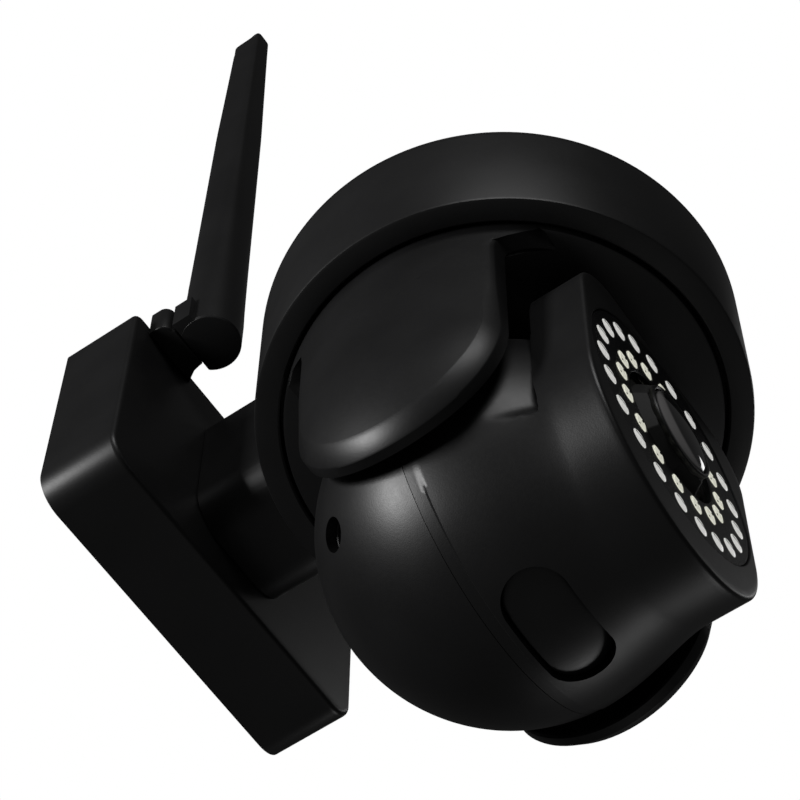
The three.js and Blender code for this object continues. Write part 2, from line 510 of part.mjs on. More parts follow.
const SOCKET_LOW = SERVICE.z - SERVICE.height / 2;
const CARD_Y = SERVICE.y - SERVICE.thick / 2 - GAP - SOCKET.thick / 2;
const serviceBoard = () => block(SERVICE.width, SERVICE.thick, SERVICE.height, 0, SERVICE.y, SERVICE.z);
function sdSocket() {
  const body = block(SOCKET.width, SOCKET.thick, SOCKET.height, DOOR.x, CARD_Y, SOCKET_LOW + SOCKET.height / 2);
  const slotTop = 12.5;
  const slot = block(CARD.width + 2 * RUN, CARD.thick + 0.4, slotTop + 5, DOOR.x, CARD_Y,
    SOCKET_LOW - 5 + (slotTop + 5) / 2);
  return cut(body, slot);
}
const sdCard = () => block(CARD.width, CARD.thick, CARD.length, DOOR.x, CARD_Y,
  SOCKET_LOW - 4 + CARD.length / 2);
function resetSwitch() {
  const body = block(6, 4, 6, BUTTON.x, SERVICE.y - SERVICE.thick / 2 - GAP - 2, SOCKET_LOW + 4);
  const well = turned(rod(BUTTON.radius - 0.5 + RUN, SOCKET_LOW - 1, SOCKET_LOW + 4, 12), "z", BUTTON.x,
    SERVICE.y - SERVICE.thick / 2 - GAP - 2);
  return cut(body, well);
}
const resetButton = () => turned(rod(BUTTON.radius - 0.5, SOCKET_LOW - 2, SOCKET_LOW + 2.5, 12), "z", BUTTON.x,
  SERVICE.y - SERVICE.thick / 2 - GAP - 2);

// ---------------------------------------------------------------- antenna
// The fixed knuckle on the box's front face: rounded lobe, waist at the joint, flared root.
function knuckle() {
  const root = FACE_Y - GAP;
  const shape = new THREE.Shape();
  shape.moveTo(KNUCKLE.right, root);
  shape.lineTo(KNUCKLE.neckRight, JOINT_Y + 2.5);
  shape.lineTo(KNUCKLE.neckRight, JOINT_Y);
  shape.lineTo(KNUCKLE.neckLeft, JOINT_Y);
  shape.absarc(KNUCKLE.left + 3, root - 3, 3, -Math.PI / 2, -Math.PI, true);
  shape.lineTo(KNUCKLE.left, root);
  shape.closePath();
  const body = turned(extrude(shape, MAST.foot), "z", 0, 0, MAST.bottom);
  const spigot = turned(rod(PIVOT.radius + GAP, 0, BOX.wall + 1.5), "forward", KNUCKLE.pivotX,
    FACE_Y + BOX.wall, PIVOT_Z - MAST.foot / 2);
  const bore = turned(rod(PIVOT.radius + GAP, 0, PIVOT.sunk + 5), "forward", KNUCKLE.pivotX,
    JOINT_Y + PIVOT.sunk + GAP, PIVOT_Z);
  return cut(join(body, spigot), bore);
}

// Closed skin over rings of points, one ring per level.
function loft(rings) {
  const [n, positions, index] = [rings[0].length, rings.flat(2), []];
  for (let level = 0; level + 1 < rings.length; level++)
    for (let i = 0; i < n; i++) {
      const [a, b] = [level * n + i, level * n + ((i + 1) % n)];
      index.push(a, b, b + n, a, b + n, a + n);
    }
  const top = (rings.length - 1) * n;
  for (let i = 1; i + 1 < n; i++) index.push(0, i + 1, i, top, top + i, top + i + 1);
  const geometry = new THREE.BufferGeometry();
  geometry.setAttribute("position", new THREE.Float32BufferAttribute(positions, 3));
  geometry.setIndex(index);
  return geometry;
}

// The mast: round at its foot, a rounded rectangle at its slanted tip.
function mast() {
  const [count, squareness] = [20, 0.42];
  const section = (t, level) => Array.from({ length: count }, (_, i) => {
    const angle = (2 * Math.PI * (i + 0.5)) / count;
    const [c, s] = [Math.cos(angle), Math.sin(angle)];
    const power = 1 - squareness * t;
    const halfX = THREE.MathUtils.lerp(MAST.baseR, MAST.tipX / 2, t);
    const halfY = THREE.MathUtils.lerp(MAST.baseR, MAST.tipY / 2, t);
    const [x, y] = [halfX * Math.sign(c) * Math.abs(c) ** power, halfY * Math.sign(s) * Math.abs(s) ** power];
    const slant = t === 1 ? MAST_SLANT * (0.5 - (y + halfY) / (2 * halfY)) - MAST_SLANT / 2 : 0;
    return [MAST.x + x, MAST.y + y, level + slant];
  });
  const top = MAST.bottom + MAST.length;
  const rings = [[0, MAST.bottom], [0, MAST.bottom + MAST.foot], [0.35, MAST.bottom + 0.35 * MAST.length], [1, top]];
  const pole = solid(loft(rings.map(([t, level]) => section(t, level))));
  const web = block(MAST.x - KNUCKLE.neckLeft, 6, MAST.foot, (MAST.x + KNUCKLE.neckLeft) / 2,
    JOINT_Y - GAP - 3, PIVOT_Z);
  const pinHole = turned(rod(PIVOT.radius + GAP, -5, PIVOT.reach + GAP), "forward", KNUCKLE.pivotX, JOINT_Y,
    PIVOT_Z);
  const barbRoom = turned(rod(PIVOT.barbR + GAP, PIVOT.reach - PIVOT.barbH - GAP, PIVOT.reach + GAP, 12),
    "forward", KNUCKLE.pivotX, JOINT_Y, PIVOT_Z);
  const joint = block(60, 40, 40, MAST.x, JOINT_Y - GAP + 20, PIVOT_Z);
  return cut(join(pole, web), joint, pinHole, barbRoom);
}

// The pin the mast turns on: sunk in the knuckle, its barbed head caught inside the mast's foot.
const pivotPin = () => turned(lathe([[0, -PIVOT.sunk], [PIVOT.radius, -PIVOT.sunk],
  [PIVOT.radius, PIVOT.reach - PIVOT.barbH], [PIVOT.barbR, PIVOT.reach - PIVOT.barbH],
  [PIVOT.radius, PIVOT.reach], [0, PIVOT.reach]], 12), "forward", KNUCKLE.pivotX, JOINT_Y, PIVOT_Z);

// ---------------------------------------------------------------- assembly
const camera = new THREE.Group();
const at = (x, y, z) => {
  const group = new THREE.Group();
  group.position.set(x, y, z);
  camera.add(group);
  return group;
};

camera.add(mesh("wall_plate", wallPlate(), steel));
camera.add(mesh("box_shell", boxShell(), shellBlack));
camera.add(mesh("cable_grommet", grommet(), rubber));
camera.add(mesh("power_board", powerBoard(), board));
corners(POST_X, POST_Z).forEach(([x, z], i) =>
  camera.add(mesh(`plate_screw_${i + 1}`, turned(screwGeometry(SCREW), "forward", x, -0.1, z), steel)));
neckBolts.forEach(([x, z], i) =>
  camera.add(mesh(`neck_bolt_${i + 1}`, turned(screwGeometry(NECK_BOLT), "forward", x,
    FACE_Y + BOX.wall + GAP + NECK_BOLT.headH, z), steel)));
camera.add(mesh("neck", neck(), shellBlack));
camera.add(mesh("cap_base", capBase(), shellBlack));
camera.add(mesh("cap_cover", capCover(), shellBlack));
coverScrewPlaces().forEach(([x, y], i) => {
  const screw = solid(screwGeometry({ ...SCREW, length: 10 }).rotateX(Math.PI).translate(x, y, CAP_TOP - 0.1));
  camera.add(mesh(`cover_screw_${i + 1}`, screw, steel));
});
camera.add(mesh("main_board", mainBoard(), board));
camera.add(mesh("heat_sink", heatSink(), steel));
camera.add(mesh("antenna_knuckle", knuckle(), shellBlack));
camera.add(mesh("antenna_mast", mast(), shellBlack));
camera.add(mesh("antenna_pin", pivotPin(), steel));

const panDrive = at(0, PAN_Y, GEAR_Z);
panDrive.add(mesh("pan_gear", panGear(), nylon));
const panSide = at(PAN_CENTRES, PAN_Y, GEAR_Z);
panSide.add(mesh("pan_pinion", panPinion(), nylon));
panSide.add(mesh("pan_motor", panMotor(), steel));

const yoke = at(0, PAN_Y, 0);
yoke.add(mesh("yoke_frame", yokeFrame(), shellBlack));
yoke.add(mesh("pan_bearing", panBearing(), nylon));
yoke.add(mesh("hub_clip", hubClip(), steel));

const ball = at(0, PAN_Y, BALL_Z);
ball.add(mesh("tilt_pin_left", turned(tiltPin(PIN.left), "x", -PIN_FOOT), steel));
ball.add(mesh("tilt_pin_right", solid(tiltPin(PIN.right).applyMatrix4(TURN.x).rotateZ(Math.PI)
  .translate(PIN_FOOT, 0, 0)), steel));
ball.add(mesh("ball_front", ballFront(), shellBlack));
ball.add(mesh("ball_rear", ballRear(), shellBlack));
ball.add(mesh("tilt_bush_left", tiltBush(-1), nylon));
ball.add(mesh("tilt_bush_right", tiltBush(1), nylon));
ball.add(mesh("window", frontWindow(), smokedAcrylic));
ball.add(mesh("led_board", ledBoard(), board));
ball.add(mesh("led_ring_outer", ledRing(LED.outerCount, LED.outerR, 3), innerBlack));
ball.add(mesh("led_ring_inner", ledRing(LED.innerCount, LED.innerR, 3.4), emitter));
ball.add(mesh("lens_hood", lensHood(), innerBlack));
ball.add(mesh("lens_barrel", lensBarrel(), innerBlack));
ball.add(mesh("lens_front", lensFront(), lensGlass));
ball.add(mesh("sensor_board", sensorBoard(), board));
ball.add(mesh("port_mesh", portMesh(), innerBlack));
ball.add(mesh("speaker", speaker(), innerBlack));
ball.add(mesh("sd_door", sdDoor(), rubber));
ball.add(mesh("service_board", serviceBoard(), board));
ball.add(mesh("sd_socket", sdSocket(), steel));
ball.add(mesh("sd_card", sdCard(), innerBlack));
ball.add(mesh("reset_switch", resetSwitch(), innerBlack));
ball.add(mesh("reset_button", resetButton(), rubber));

const tiltDrive = at(TILT_GEAR_X, PAN_Y, BALL_Z);
tiltDrive.add(mesh("tilt_gear", tiltGear(), nylon));
const tiltSide = at(TILT_GEAR_X, PAN_Y + TILT_CENTRES, BALL_Z);
tiltSide.add(mesh("tilt_pinion", tiltPinion(), nylon));
tiltSide.add(mesh("tilt_motor", tiltMotor(), steel));

export default camera;
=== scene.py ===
# %% [markdown]
# # A pan-and-tilt outdoor camera
# The camera hangs off a wall box. A neck carries a round cap, a yoke turns under the cap, and a ball
# with a flat-faced snout tilts between the yoke's two cheeks. The CAD model fixes where everything is;
# here each visible moulding is rebuilt smoothly around it and given its finish.

import json
import math

import bpy
from mathutils import Matrix, Vector


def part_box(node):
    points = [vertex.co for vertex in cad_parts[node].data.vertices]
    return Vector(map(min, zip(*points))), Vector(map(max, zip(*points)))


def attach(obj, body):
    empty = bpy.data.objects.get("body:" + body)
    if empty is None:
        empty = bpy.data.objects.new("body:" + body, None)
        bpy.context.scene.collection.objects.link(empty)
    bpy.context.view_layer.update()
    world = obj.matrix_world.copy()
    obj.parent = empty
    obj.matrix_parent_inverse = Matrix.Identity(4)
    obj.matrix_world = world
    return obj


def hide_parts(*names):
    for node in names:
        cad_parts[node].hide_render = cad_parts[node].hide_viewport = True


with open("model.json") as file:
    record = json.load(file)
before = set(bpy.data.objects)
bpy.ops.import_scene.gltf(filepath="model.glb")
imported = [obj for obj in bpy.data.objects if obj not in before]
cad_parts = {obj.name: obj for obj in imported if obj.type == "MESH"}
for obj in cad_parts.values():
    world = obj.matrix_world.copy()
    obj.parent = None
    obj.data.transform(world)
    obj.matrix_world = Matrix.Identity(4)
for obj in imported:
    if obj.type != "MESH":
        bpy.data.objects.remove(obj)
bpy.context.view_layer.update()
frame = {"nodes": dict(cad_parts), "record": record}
MM = 0.001

# %% [markdown]
# Positions come from the CAD nodes, so nothing is fitted by eye. The cap gives the pan axis, the two
# halves of the ball give its centre, and the window gives the optical axis.

# %% Places taken from the CAD nodes, in millimetres
def span(node):
    low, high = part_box(node)
    return [v / MM for v in low], [v / MM for v in high]


cap_low, cap_high = span("cap_base")
lid_high = span("cap_cover")[1]
box_low, box_high = span("box_shell")
neck_low, neck_high = span("neck")
yoke_low, yoke_high = span("yoke_frame")
mast_low, mast_high = span("antenna_mast")
foot_low = span("antenna_knuckle")[0]
glass_low, glass_high = span("window")
PAN_Y = (cap_low[1] + cap_high[1]) / 2
CAP_R = (cap_high[1] - cap_low[1]) / 2
PIN_LOW, PIN_HIGH = span("tilt_pin_left")
BALL_Z = (PIN_LOW[2] + PIN_HIGH[2]) / 2
BALL_R = 47.5
BALL_WALL = 2.5
PIN_ROOM_R = 8.5
FACE_Y = span("ball_front")[0][1] - PAN_Y
LENS_Z = (glass_low[2] + glass_high[2]) / 2 - BALL_Z
LENS_TIP = 49.4
print("pan axis at y", round(PAN_Y, 2), "ball centre z", round(BALL_Z, 2), "face", round(FACE_Y, 2))

# %% [markdown]
# Most of Blender's edit-mode operators act on whatever is selected, so each step starts from nothing
# selected. These helpers add a primitive at its place, select by position, and apply a modifier.

# %% Modelling helpers
def deselect():
    if bpy.context.mode != "OBJECT":
        bpy.ops.object.mode_set(mode="OBJECT")
    bpy.ops.object.select_all(action="DESELECT")


def open_mesh(piece, how="FACE"):
    deselect()
    piece.select_set(True)
    bpy.context.view_layer.objects.active = piece
    bpy.ops.object.mode_set(mode="EDIT")
    bpy.ops.mesh.select_mode(type=how)


def pick(piece, how, test):
    """Select the faces or edges of a piece that pass a test on their middle (in mm) and direction."""
    open_mesh(piece, how)
    bpy.ops.mesh.select_all(action="DESELECT")
    bpy.ops.object.mode_set(mode="OBJECT")
    mesh = piece.data
    if how == "FACE":
        for face in mesh.polygons:
            face.select = bool(test(face.center / MM, face.normal))
    else:
        for edge in mesh.edges:
            a, b = (mesh.vertices[i].co / MM for i in edge.vertices)
            edge.select = bool(test((a + b) / 2, (b - a).normalized()))
    bpy.ops.object.mode_set(mode="EDIT")


def close_mesh(piece):
    bpy.ops.mesh.select_all(action="SELECT")
    bpy.ops.mesh.remove_doubles(threshold=2e-6)
    bpy.ops.mesh.delete_loose()
    bpy.ops.mesh.select_all(action="SELECT")
    bpy.ops.mesh.normals_make_consistent(inside=False)
    bpy.ops.object.mode_set(mode="OBJECT")
    return piece


def block(name, low, high):
    deselect()
    middle = [(a + b) / 2 * MM for a, b in zip(low, high)]
    size = [(b - a) * MM for a, b in zip(low, high)]
    bpy.ops.mesh.primitive_cube_add(size=1, location=middle, scale=size)
    piece = bpy.context.object
    piece.name = name
    bpy.ops.object.transform_apply(location=True, rotation=True, scale=True)
    return piece


TURNS = {"x": (0, math.pi / 2, 0), "y": (math.pi / 2, 0, 0), "z": (0, 0, 0)}


def drum(name, radius, length, middle, axis="z", sides=64):
    deselect()
    place = [v * MM for v in middle]
    bpy.ops.mesh.primitive_cylinder_add(vertices=sides, radius=radius * MM, depth=length * MM,
                                        location=place, rotation=TURNS[axis])
    piece = bpy.context.object
    piece.name = name
    bpy.ops.object.transform_apply(location=True, rotation=True, scale=True)
    return piece


def modify(piece, kind, **settings):
    deselect()
    piece.select_set(True)
    bpy.context.view_layer.objects.active = piece
    modifier = piece.modifiers.new(kind.title(), kind)
    for key, value in settings.items():
        setattr(modifier, key, value)
    bpy.ops.object.modifier_apply(modifier=modifier.name)
    return piece


def cut(piece, *tools):
    for tool in tools:
        modify(piece, "BOOLEAN", operation="DIFFERENCE", solver="EXACT", object=tool)
        bpy.data.objects.remove(tool)
    return piece


def soften(piece, width, segments=2, angle=35):
    return modify(piece, "BEVEL", width=width * MM, segments=segments, limit_method="ANGLE",
                  angle_limit=math.radians(angle), harden_normals=False)


# %% [markdown]
# Two shapes come up again and again. A turned piece is a profile spun round an axis, as on a lathe.
# A skin is a flat grid wrapped round a form: each row and column is put where a rule says, which keeps
# long smooth mouldings even and free of pinches.

# %% Turned pieces and skins
def turned(name, profile, axis, centre, steps=96):
    """Spin a closed profile of (radius, height along the axis) round an axis through centre."""
    deselect()
    bpy.ops.mesh.primitive_circle_add(vertices=len(profile), radius=1, fill_type="NOTHING")
    piece = bpy.context.object
    piece.name = name
    way = {"x": Vector((1, 0, 0)), "y": Vector((0, -1, 0)), "z": Vector((0, 0, 1))}[axis]
    side = {"x": Vector((0, 1, 0)), "y": Vector((1, 0, 0)), "z": Vector((1, 0, 0))}[axis]
    middle = Vector(centre)
    for vertex, (radius, height) in zip(piece.data.vertices, profile):
        vertex.co = (middle + side * radius + way * height) * MM
    open_mesh(piece, "VERT")
    bpy.ops.mesh.select_all(action="SELECT")
    bpy.ops.mesh.spin(steps=steps, angle=2 * math.pi, center=middle * MM, axis=way)
    return close_mesh(piece)


def skin(name, columns, rows, place):
    deselect()
    bpy.ops.mesh.primitive_grid_add(x_subdivisions=columns, y_subdivisions=rows, size=1)
    piece = bpy.context.object
    piece.name = name
    for vertex in piece.data.vertices:
        column = round((vertex.co.x + 0.5) * columns)
        row = round((vertex.co.y + 0.5) * rows)
        vertex.co = Vector(place(column, row)) * MM
    open_mesh(piece, "VERT")
    return close_mesh(piece)


# %% [markdown]
# A finish is a set of shader nodes. Writing the sums as ordinary Python keeps them readable, so a
# small class stands for a node's output and adds a Math node whenever it meets +, -, * or /.

# %% Shader helper
class Output:
    def __init__(self, tree, socket):
        self.tree, self.socket = tree, socket

    def math(self, operation, first, second):
        return add(self.tree, "ShaderNodeMath", {"operation": operation}, {0: first, 1: second})

    def __add__(self, other):
        return self.math("ADD", self, other)

    def __sub__(self, other):
        return self.math("SUBTRACT", self, other)

    def __rsub__(self, other):
        return self.math("SUBTRACT", other, self)

    def __mul__(self, other):
        return self.math("MULTIPLY", self, other)

    __radd__, __rmul__ = __add__, __mul__


def add(tree, kind, settings=None, inputs=None, output=0):
    node = tree.nodes.new(kind)
    for key, value in (settings or {}).items():
        if key == "stops":
            ramp = node.color_ramp
            while len(ramp.elements) < len(value):
                ramp.elements.new(0.5)
            for element, (position, shade) in zip(ramp.elements, value):
                element.position = position
                element.color = (*shade, 1)
        else:
            setattr(node, key, value)
    for key, value in (inputs or {}).items():
        if isinstance(value, Output):
            tree.links.new(value.socket, node.inputs[key])
        else:
            node.inputs[key].default_value = value
    return Output(tree, node.outputs[output])


def ramp(tree, factor, low, high):
    """A colour that runs between two (position, colour) stops as the factor rises."""
    return add(tree, "ShaderNodeValToRGB", {"stops": [low, high]}, {"Fac": factor})


def grade(tree, value, low, high):
    """A smooth step from 0 to 1 while the value goes from low to high."""
    return add(tree, "ShaderNodeMapRange", {"interpolation_type": "SMOOTHSTEP"},
               {"Value": value, "From Min": low, "From Max": high})


def finish(name, **fixed):
    """A Principled finish with its uniform values set, its tree, and the object's own coordinates."""
    material = bpy.data.materials.new(name)
    material.use_nodes = True
    tree = material.node_tree
    shader = tree.nodes["Principled BSDF"]
    for key, value in fixed.items():
        shader.inputs[key.replace("_", " ")].default_value = value
    place = add(tree, "ShaderNodeTexCoord", output="Object")
    return material, tree, shader, place


def feed(tree, shader, **links):
    for key, value in links.items():
        tree.links.new(value.socket, shader.inputs[key.replace("_", " ")])


def noise(tree, place, scale, detail=2.0):
    return add(tree, "ShaderNodeTexNoise", {}, {"Vector": place, "Scale": scale, "Detail": detail})


def bump(tree, height, strength, distance):
    return add(tree, "ShaderNodeBump", {}, {"Height": height, "Strength": strength, "Distance": distance})


# %% [markdown]
# The housing is moulded black plastic with a fine spark-eroded grain. The grain is a noise a few tenths
# of a millimetre across that only feeds bump, and a slow cloud makes some areas a little glossier,
# as handling and flow in the mould do.

# %% Housing plastic
def moulded(name, tone, rough, grain):
    material, tree, shader, place = finish(name, Specular_IOR_Level=0.5)
    fine = noise(tree, place, 2600, 3)
    cloud = noise(tree, place, 38, 2)
    speck = noise(tree, place, 900, 4)
    shade = ramp(tree, cloud, (0.3, [c * 0.86 for c in tone]), (0.7, [c * 1.14 for c in tone]))
    feed(tree, shader, Base_Color=shade, Roughness=(cloud - 0.5) * 0.12 + (speck - 0.5) * 0.06 + rough,
         Normal=bump(tree, fine * 0.7 + speck * 0.3, grain, 0.00006))
    return material


shell_plastic = moulded("shell_plastic", (0.0085, 0.0085, 0.0088), 0.40, 0.35)
cap_plastic = moulded("cap_plastic", (0.009, 0.009, 0.0093), 0.43, 0.35)
inner_plastic = moulded("inner_plastic", (0.006, 0.006, 0.006), 0.62, 0.5)
bezel_plastic = moulded("bezel_plastic", (0.012, 0.012, 0.0125), 0.33, 0.2)
print("housing finishes made")

# %% [markdown]
# The rest are small finishes: soft rubber with a dusty sheen, drawn steel with fine turning marks,
# acetal gears, green circuit board with faint tracks, and the glass of the window and lens.

# %% Small finishes
def rubbery():
    material, tree, shader, place = finish("seal_rubber", Specular_IOR_Level=0.3)
    dust = noise(tree, place, 1400, 4)
    shade = ramp(tree, dust, (0.35, (0.0085, 0.0085, 0.0085)), (0.75, (0.0125, 0.0125, 0.0125)))
    feed(tree, shader, Base_Color=shade, Roughness=dust * 0.15 + 0.5, Normal=bump(tree, dust, 0.4, 0.00005))
    return material


def metallic(name, tone, rough):
    material, tree, shader, place = finish(name, Metallic=1.0)
    stretch = add(tree, "ShaderNodeMapping", {}, {"Vector": place, "Scale": (1500, 1500, 90)})
    marks = noise(tree, stretch, 1.0, 3)
    shade = ramp(tree, marks, (0.3, [c * 0.8 for c in tone]), (0.7, tone))
    feed(tree, shader, Base_Color=shade, Roughness=marks * 0.2 + rough,
         Normal=bump(tree, marks, 0.2, 0.00003))
    return material


def circuit():
    material, tree, shader, place = finish("circuit_board", Coat_Roughness=0.2)
    tracks = add(tree, "ShaderNodeTexVoronoi", {"feature": "DISTANCE_TO_EDGE"},
                 {"Vector": place, "Scale": 320.0})
    shade = ramp(tree, tracks, (0.03, (0.03, 0.16, 0.07)), (0.1, (0.008, 0.05, 0.025)))
    feed(tree, shader, Base_Color=shade, Roughness=tracks * 0.2 + 0.35)
    return material


def acetal():
    material, tree, shader, place = finish("acetal", Subsurface_Weight=0.0)
    flow = noise(tree, place, 250, 3)
    shade = ramp(tree, flow, (0.3, (0.62, 0.6, 0.55)), (0.7, (0.72, 0.7, 0.65)))
    feed(tree, shader, Base_Color=shade, Roughness=flow * 0.2 + 0.35)
    return material


def smoked():
    material, tree, shader, place = finish("window_smoke", Specular_IOR_Level=0.6, IOR=1.5)
    film = noise(tree, place, 60, 2)
    shade = ramp(tree, film, (0.3, (0.006, 0.006, 0.0065)), (0.7, (0.009, 0.009, 0.0095)))
    feed(tree, shader, Base_Color=shade, Roughness=film * 0.08 + 0.2)
    return material


def lens_with_painted_reflection():
    """Dark coated glass with a pale crescent of painted reflection along its lower left, standing in for the
    glare a wide element shows there.
    """
    material, tree, shader, place = finish("lens_coating_and_painted_reflection", Coat_Weight=1.0, Coat_Roughness=0.03)
    tip = (PAN_Y - LENS_TIP) * MM
    offset = add(tree, "ShaderNodeVectorMath", {"operation": "DISTANCE"},
                 {0: place, 1: (3.2 * MM, tip, (BALL_Z + LENS_Z + 3.4) * MM)}, output=1)
    centre = add(tree, "ShaderNodeVectorMath", {"operation": "DISTANCE"},
                 {0: place, 1: (0, tip, (BALL_Z + LENS_Z) * MM)}, output=1)
    # The crescent is a painted reflection: between two circles the colour turns pale grey and the glass a
    # little rougher.
    crescent = grade(tree, offset, 0.0112, 0.0128)
    inside = grade(tree, centre, 0.0112, 0.0106)
    painted_reflection_mask = crescent * inside
    shade = add(tree, "ShaderNodeMix", {"data_type": "RGBA"}, {"Factor": painted_reflection_mask}, output=2)
    mix = shade.socket.node
    mix.inputs[6].default_value = (0.004, 0.004, 0.005, 1)
    mix.inputs[7].default_value = (0.32, 0.31, 0.31, 1)
    feed(tree, shader, Base_Color=shade, Roughness=painted_reflection_mask * 0.1 + 0.08)
    return material


def glowing(name, tone, strength):
    # The emission is a painted glow that keeps the pale lamp faces bright whatever light falls on them.
    material, tree, shader, place = finish(name, Emission_Strength=strength)
    phosphor = noise(tree, place, 1800, 2)
    shade = ramp(tree, phosphor, (0.3, [c * 0.75 for c in tone]), (0.6, tone))
    feed(tree, shader, Base_Color=shade, Emission_Color=shade, Roughness=phosphor * 0.2 + 0.15)
    return material


seal_rubber = rubbery()
zinc_steel = metallic("zinc_steel", (0.55, 0.55, 0.56), 0.28)
plain_aluminium = metallic("plain_aluminium", (0.7, 0.71, 0.72), 0.3)
circuit_board = circuit()
natural_acetal = acetal()
window_smoke = smoked()
lens_coating_and_painted_reflection = lens_with_painted_reflection()
# Both lamp finishes carry that painted glow.
phosphor_white_painted_glow = glowing("phosphor_white_painted_glow", (0.9, 0.9, 0.87), 0.55)
phosphor_cream_painted_glow = glowing("phosphor_cream_painted_glow", (0.86, 0.86, 0.74), 0.6)
lead_grey = metallic("lead_grey", (0.1, 0.1, 0.1), 0.35)
print("small finishes made")

# %% [markdown]
# Every CAD node that stays takes the finish of its material slot. Most of them are sealed inside, but
# a gap or an open cover shows some, so they all get one.

# %% Finishes for the CAD nodes that stay
BY_SLOT = {"shell": shell_plastic, "rubber": seal_rubber, "steel": zinc_steel, "aluminium": plain_aluminium,
           "board": circuit_board, "gear": natural_acetal, "window": window_smoke,
           "optics_black": inner_plastic, "emitter": phosphor_white_painted_glow, "lens": lens_coating_and_painted_reflection}
slot_of = {part["node"]: part["material_slot"] for part in frame["record"]["subparts"]}
for node, thing in frame["nodes"].items():
    thing.data.materials.clear()
    thing.data.materials.append(BY_SLOT[slot_of[node]])
# The steel tilt pins and pan bearing take the dark inner finish because they show only in shaded gaps:
# painted shade.
for shade_dark_part in ("tilt_pin_left", "tilt_pin_right", "pan_bearing"):
    frame["nodes"][shade_dark_part].data.materials[0] = inner_plastic
print(len(frame["nodes"]), "CAD nodes have a finish")


def place_piece(piece, body, material, slot, *nodes, angle=32):
    """Shade a finished piece, give it its finish, and let it ride on its CAD body."""
    deselect()
    piece.select_set(True)
    bpy.context.view_layer.objects.active = piece
    bpy.ops.object.shade_smooth_by_angle(angle=math.radians(angle))
    piece.data.materials.clear()
    piece.data.materials.append(material)
    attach(piece, body)
    if nodes:
        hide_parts(*nodes)
    print(piece.name, len(piece.data.polygons), "faces on", body)
    return piece


# %% [markdown]
# The wall box is a shallow tray, generously rounded at its lower corners and tighter at the upper two.
# A cube gets these corners bevelled first, then the rim of its front face, and the back is inset and
# pushed in to leave a thin wall.

# %% Wall box
box = block("wall_box", box_low, box_high)
pick(box, "EDGE", lambda m, d: abs(d.y) > 0.9 and m.z < 0)
bpy.ops.mesh.bevel(offset=9 * MM, segments=12, affect="EDGES")
pick(box, "EDGE", lambda m, d: abs(d.y) > 0.9 and m.z > 30 * MM and abs(m.x) > 50 * MM)
bpy.ops.mesh.bevel(offset=3 * MM, segments=6, affect="EDGES")
pick(box, "FACE", lambda m, n: n.y < -0.99)
bpy.ops.mesh.bevel(offset=1.5 * MM, segments=4, affect="EDGES")
pick(box, "FACE", lambda m, n: n.y > 0.99)
bpy.ops.mesh.inset(thickness=2.5 * MM)
bpy.ops.mesh.extrude_region_move(TRANSFORM_OT_translate={"value": (0, -21 * MM, 0)})
close_mesh(box)
place_piece(box, "mount", shell_plastic, "shell", "box_shell")

# %% [markdown]
# The steel plate behind the box carries it on the wall. It fits inside the tray's rim with a small
# clearance, and its holes are cut with drums. The grommet lines the cable hole.

# %% Back plate and grommet
plate_low, plate_high = span("wall_plate")
plate = block("back_plate", plate_low, plate_high)
pick(plate, "EDGE", lambda m, d: abs(d.y) > 0.9)
bpy.ops.mesh.bevel(offset=6.2 * MM, segments=8, affect="EDGES")
grommet_low, grommet_high = span("cable_grommet")
cable_x = (grommet_low[0] + grommet_high[0]) / 2
holes = [drum("hole", 9, 12, (cable_x, 0, 0), "y", 48)]
holes += [drum("hole", 2.6, 12, (x, 0, z), "y", 24) for x in (-32, 32) for z in (-22, 22)]
screw_places = [[(a + b) / 2 for a, b in zip(*span(f"plate_screw_{i}"))] for i in (1, 2, 3, 4)]
holes += [drum("hole", 3.3, 4, (x, 0, z), "y", 32) for x, y, z in screw_places]
cut(plate, *holes)
soften(plate, 0.25, 1, 50)
place_piece(plate, "mount", zinc_steel, "steel", "wall_plate")
grommet_profile = [(4, 0.6), (4.4, 0.25), (8.3, 0.25), (8.7, 0.5), (8.7, 3.3), (11.2, 3.3), (11.5, 3.7),
                   (11.5, 5), (11.1, 5.3), (4.6, 7), (4, 6.6)]
grommet = turned("cable_ring", grommet_profile, "y", (cable_x, 0, 0), 48)
place_piece(grommet, "mount", seal_rubber, "rubber", "cable_grommet")

# %% [markdown]
# One screw head is modelled with its hexagon socket, and the others are copies, each with its own mesh.
# A cylinder has its top rim bevelled, then the top is inset and pushed in for the socket.

# %% Screw heads
def screw_heads(names, places, axis, body, nodes):
    first = drum("screw_head", 2.9, 1.5, (0, 0, 0), "z", 24)
    pick(first, "FACE", lambda m, n: n.z > 0.9)
    bpy.ops.mesh.bevel(offset=0.35 * MM, segments=3, affect="EDGES")
    cut(first, drum("socket", 1.35, 1.6, (0, 0, 0.9), "z", 6))
    for name, place, node in zip(names, places, nodes):
        head = first.copy()
        head.data = first.data.copy()
        head.name = name
        bpy.context.scene.collection.objects.link(head)
        head.data.transform(Matrix.Rotation(axis, 4, "X"))
        head.data.transform(Matrix.Translation(Vector(place) * MM))
        place_piece(head, body, zinc_steel, "steel", node)
    bpy.data.objects.remove(first)


screw_heads([f"plate_screw_head_{i}" for i in (1, 2, 3, 4)], [(x, -0.95, z) for x, y, z in screw_places],
            -math.pi / 2, "mount", [f"plate_screw_{i}" for i in (1, 2, 3, 4)])

# %% [markdown]
# The cap is a turned ring with a deep recess underneath for the yoke's disc; the lid closes its top
# with a soft edge and three sunk screws.

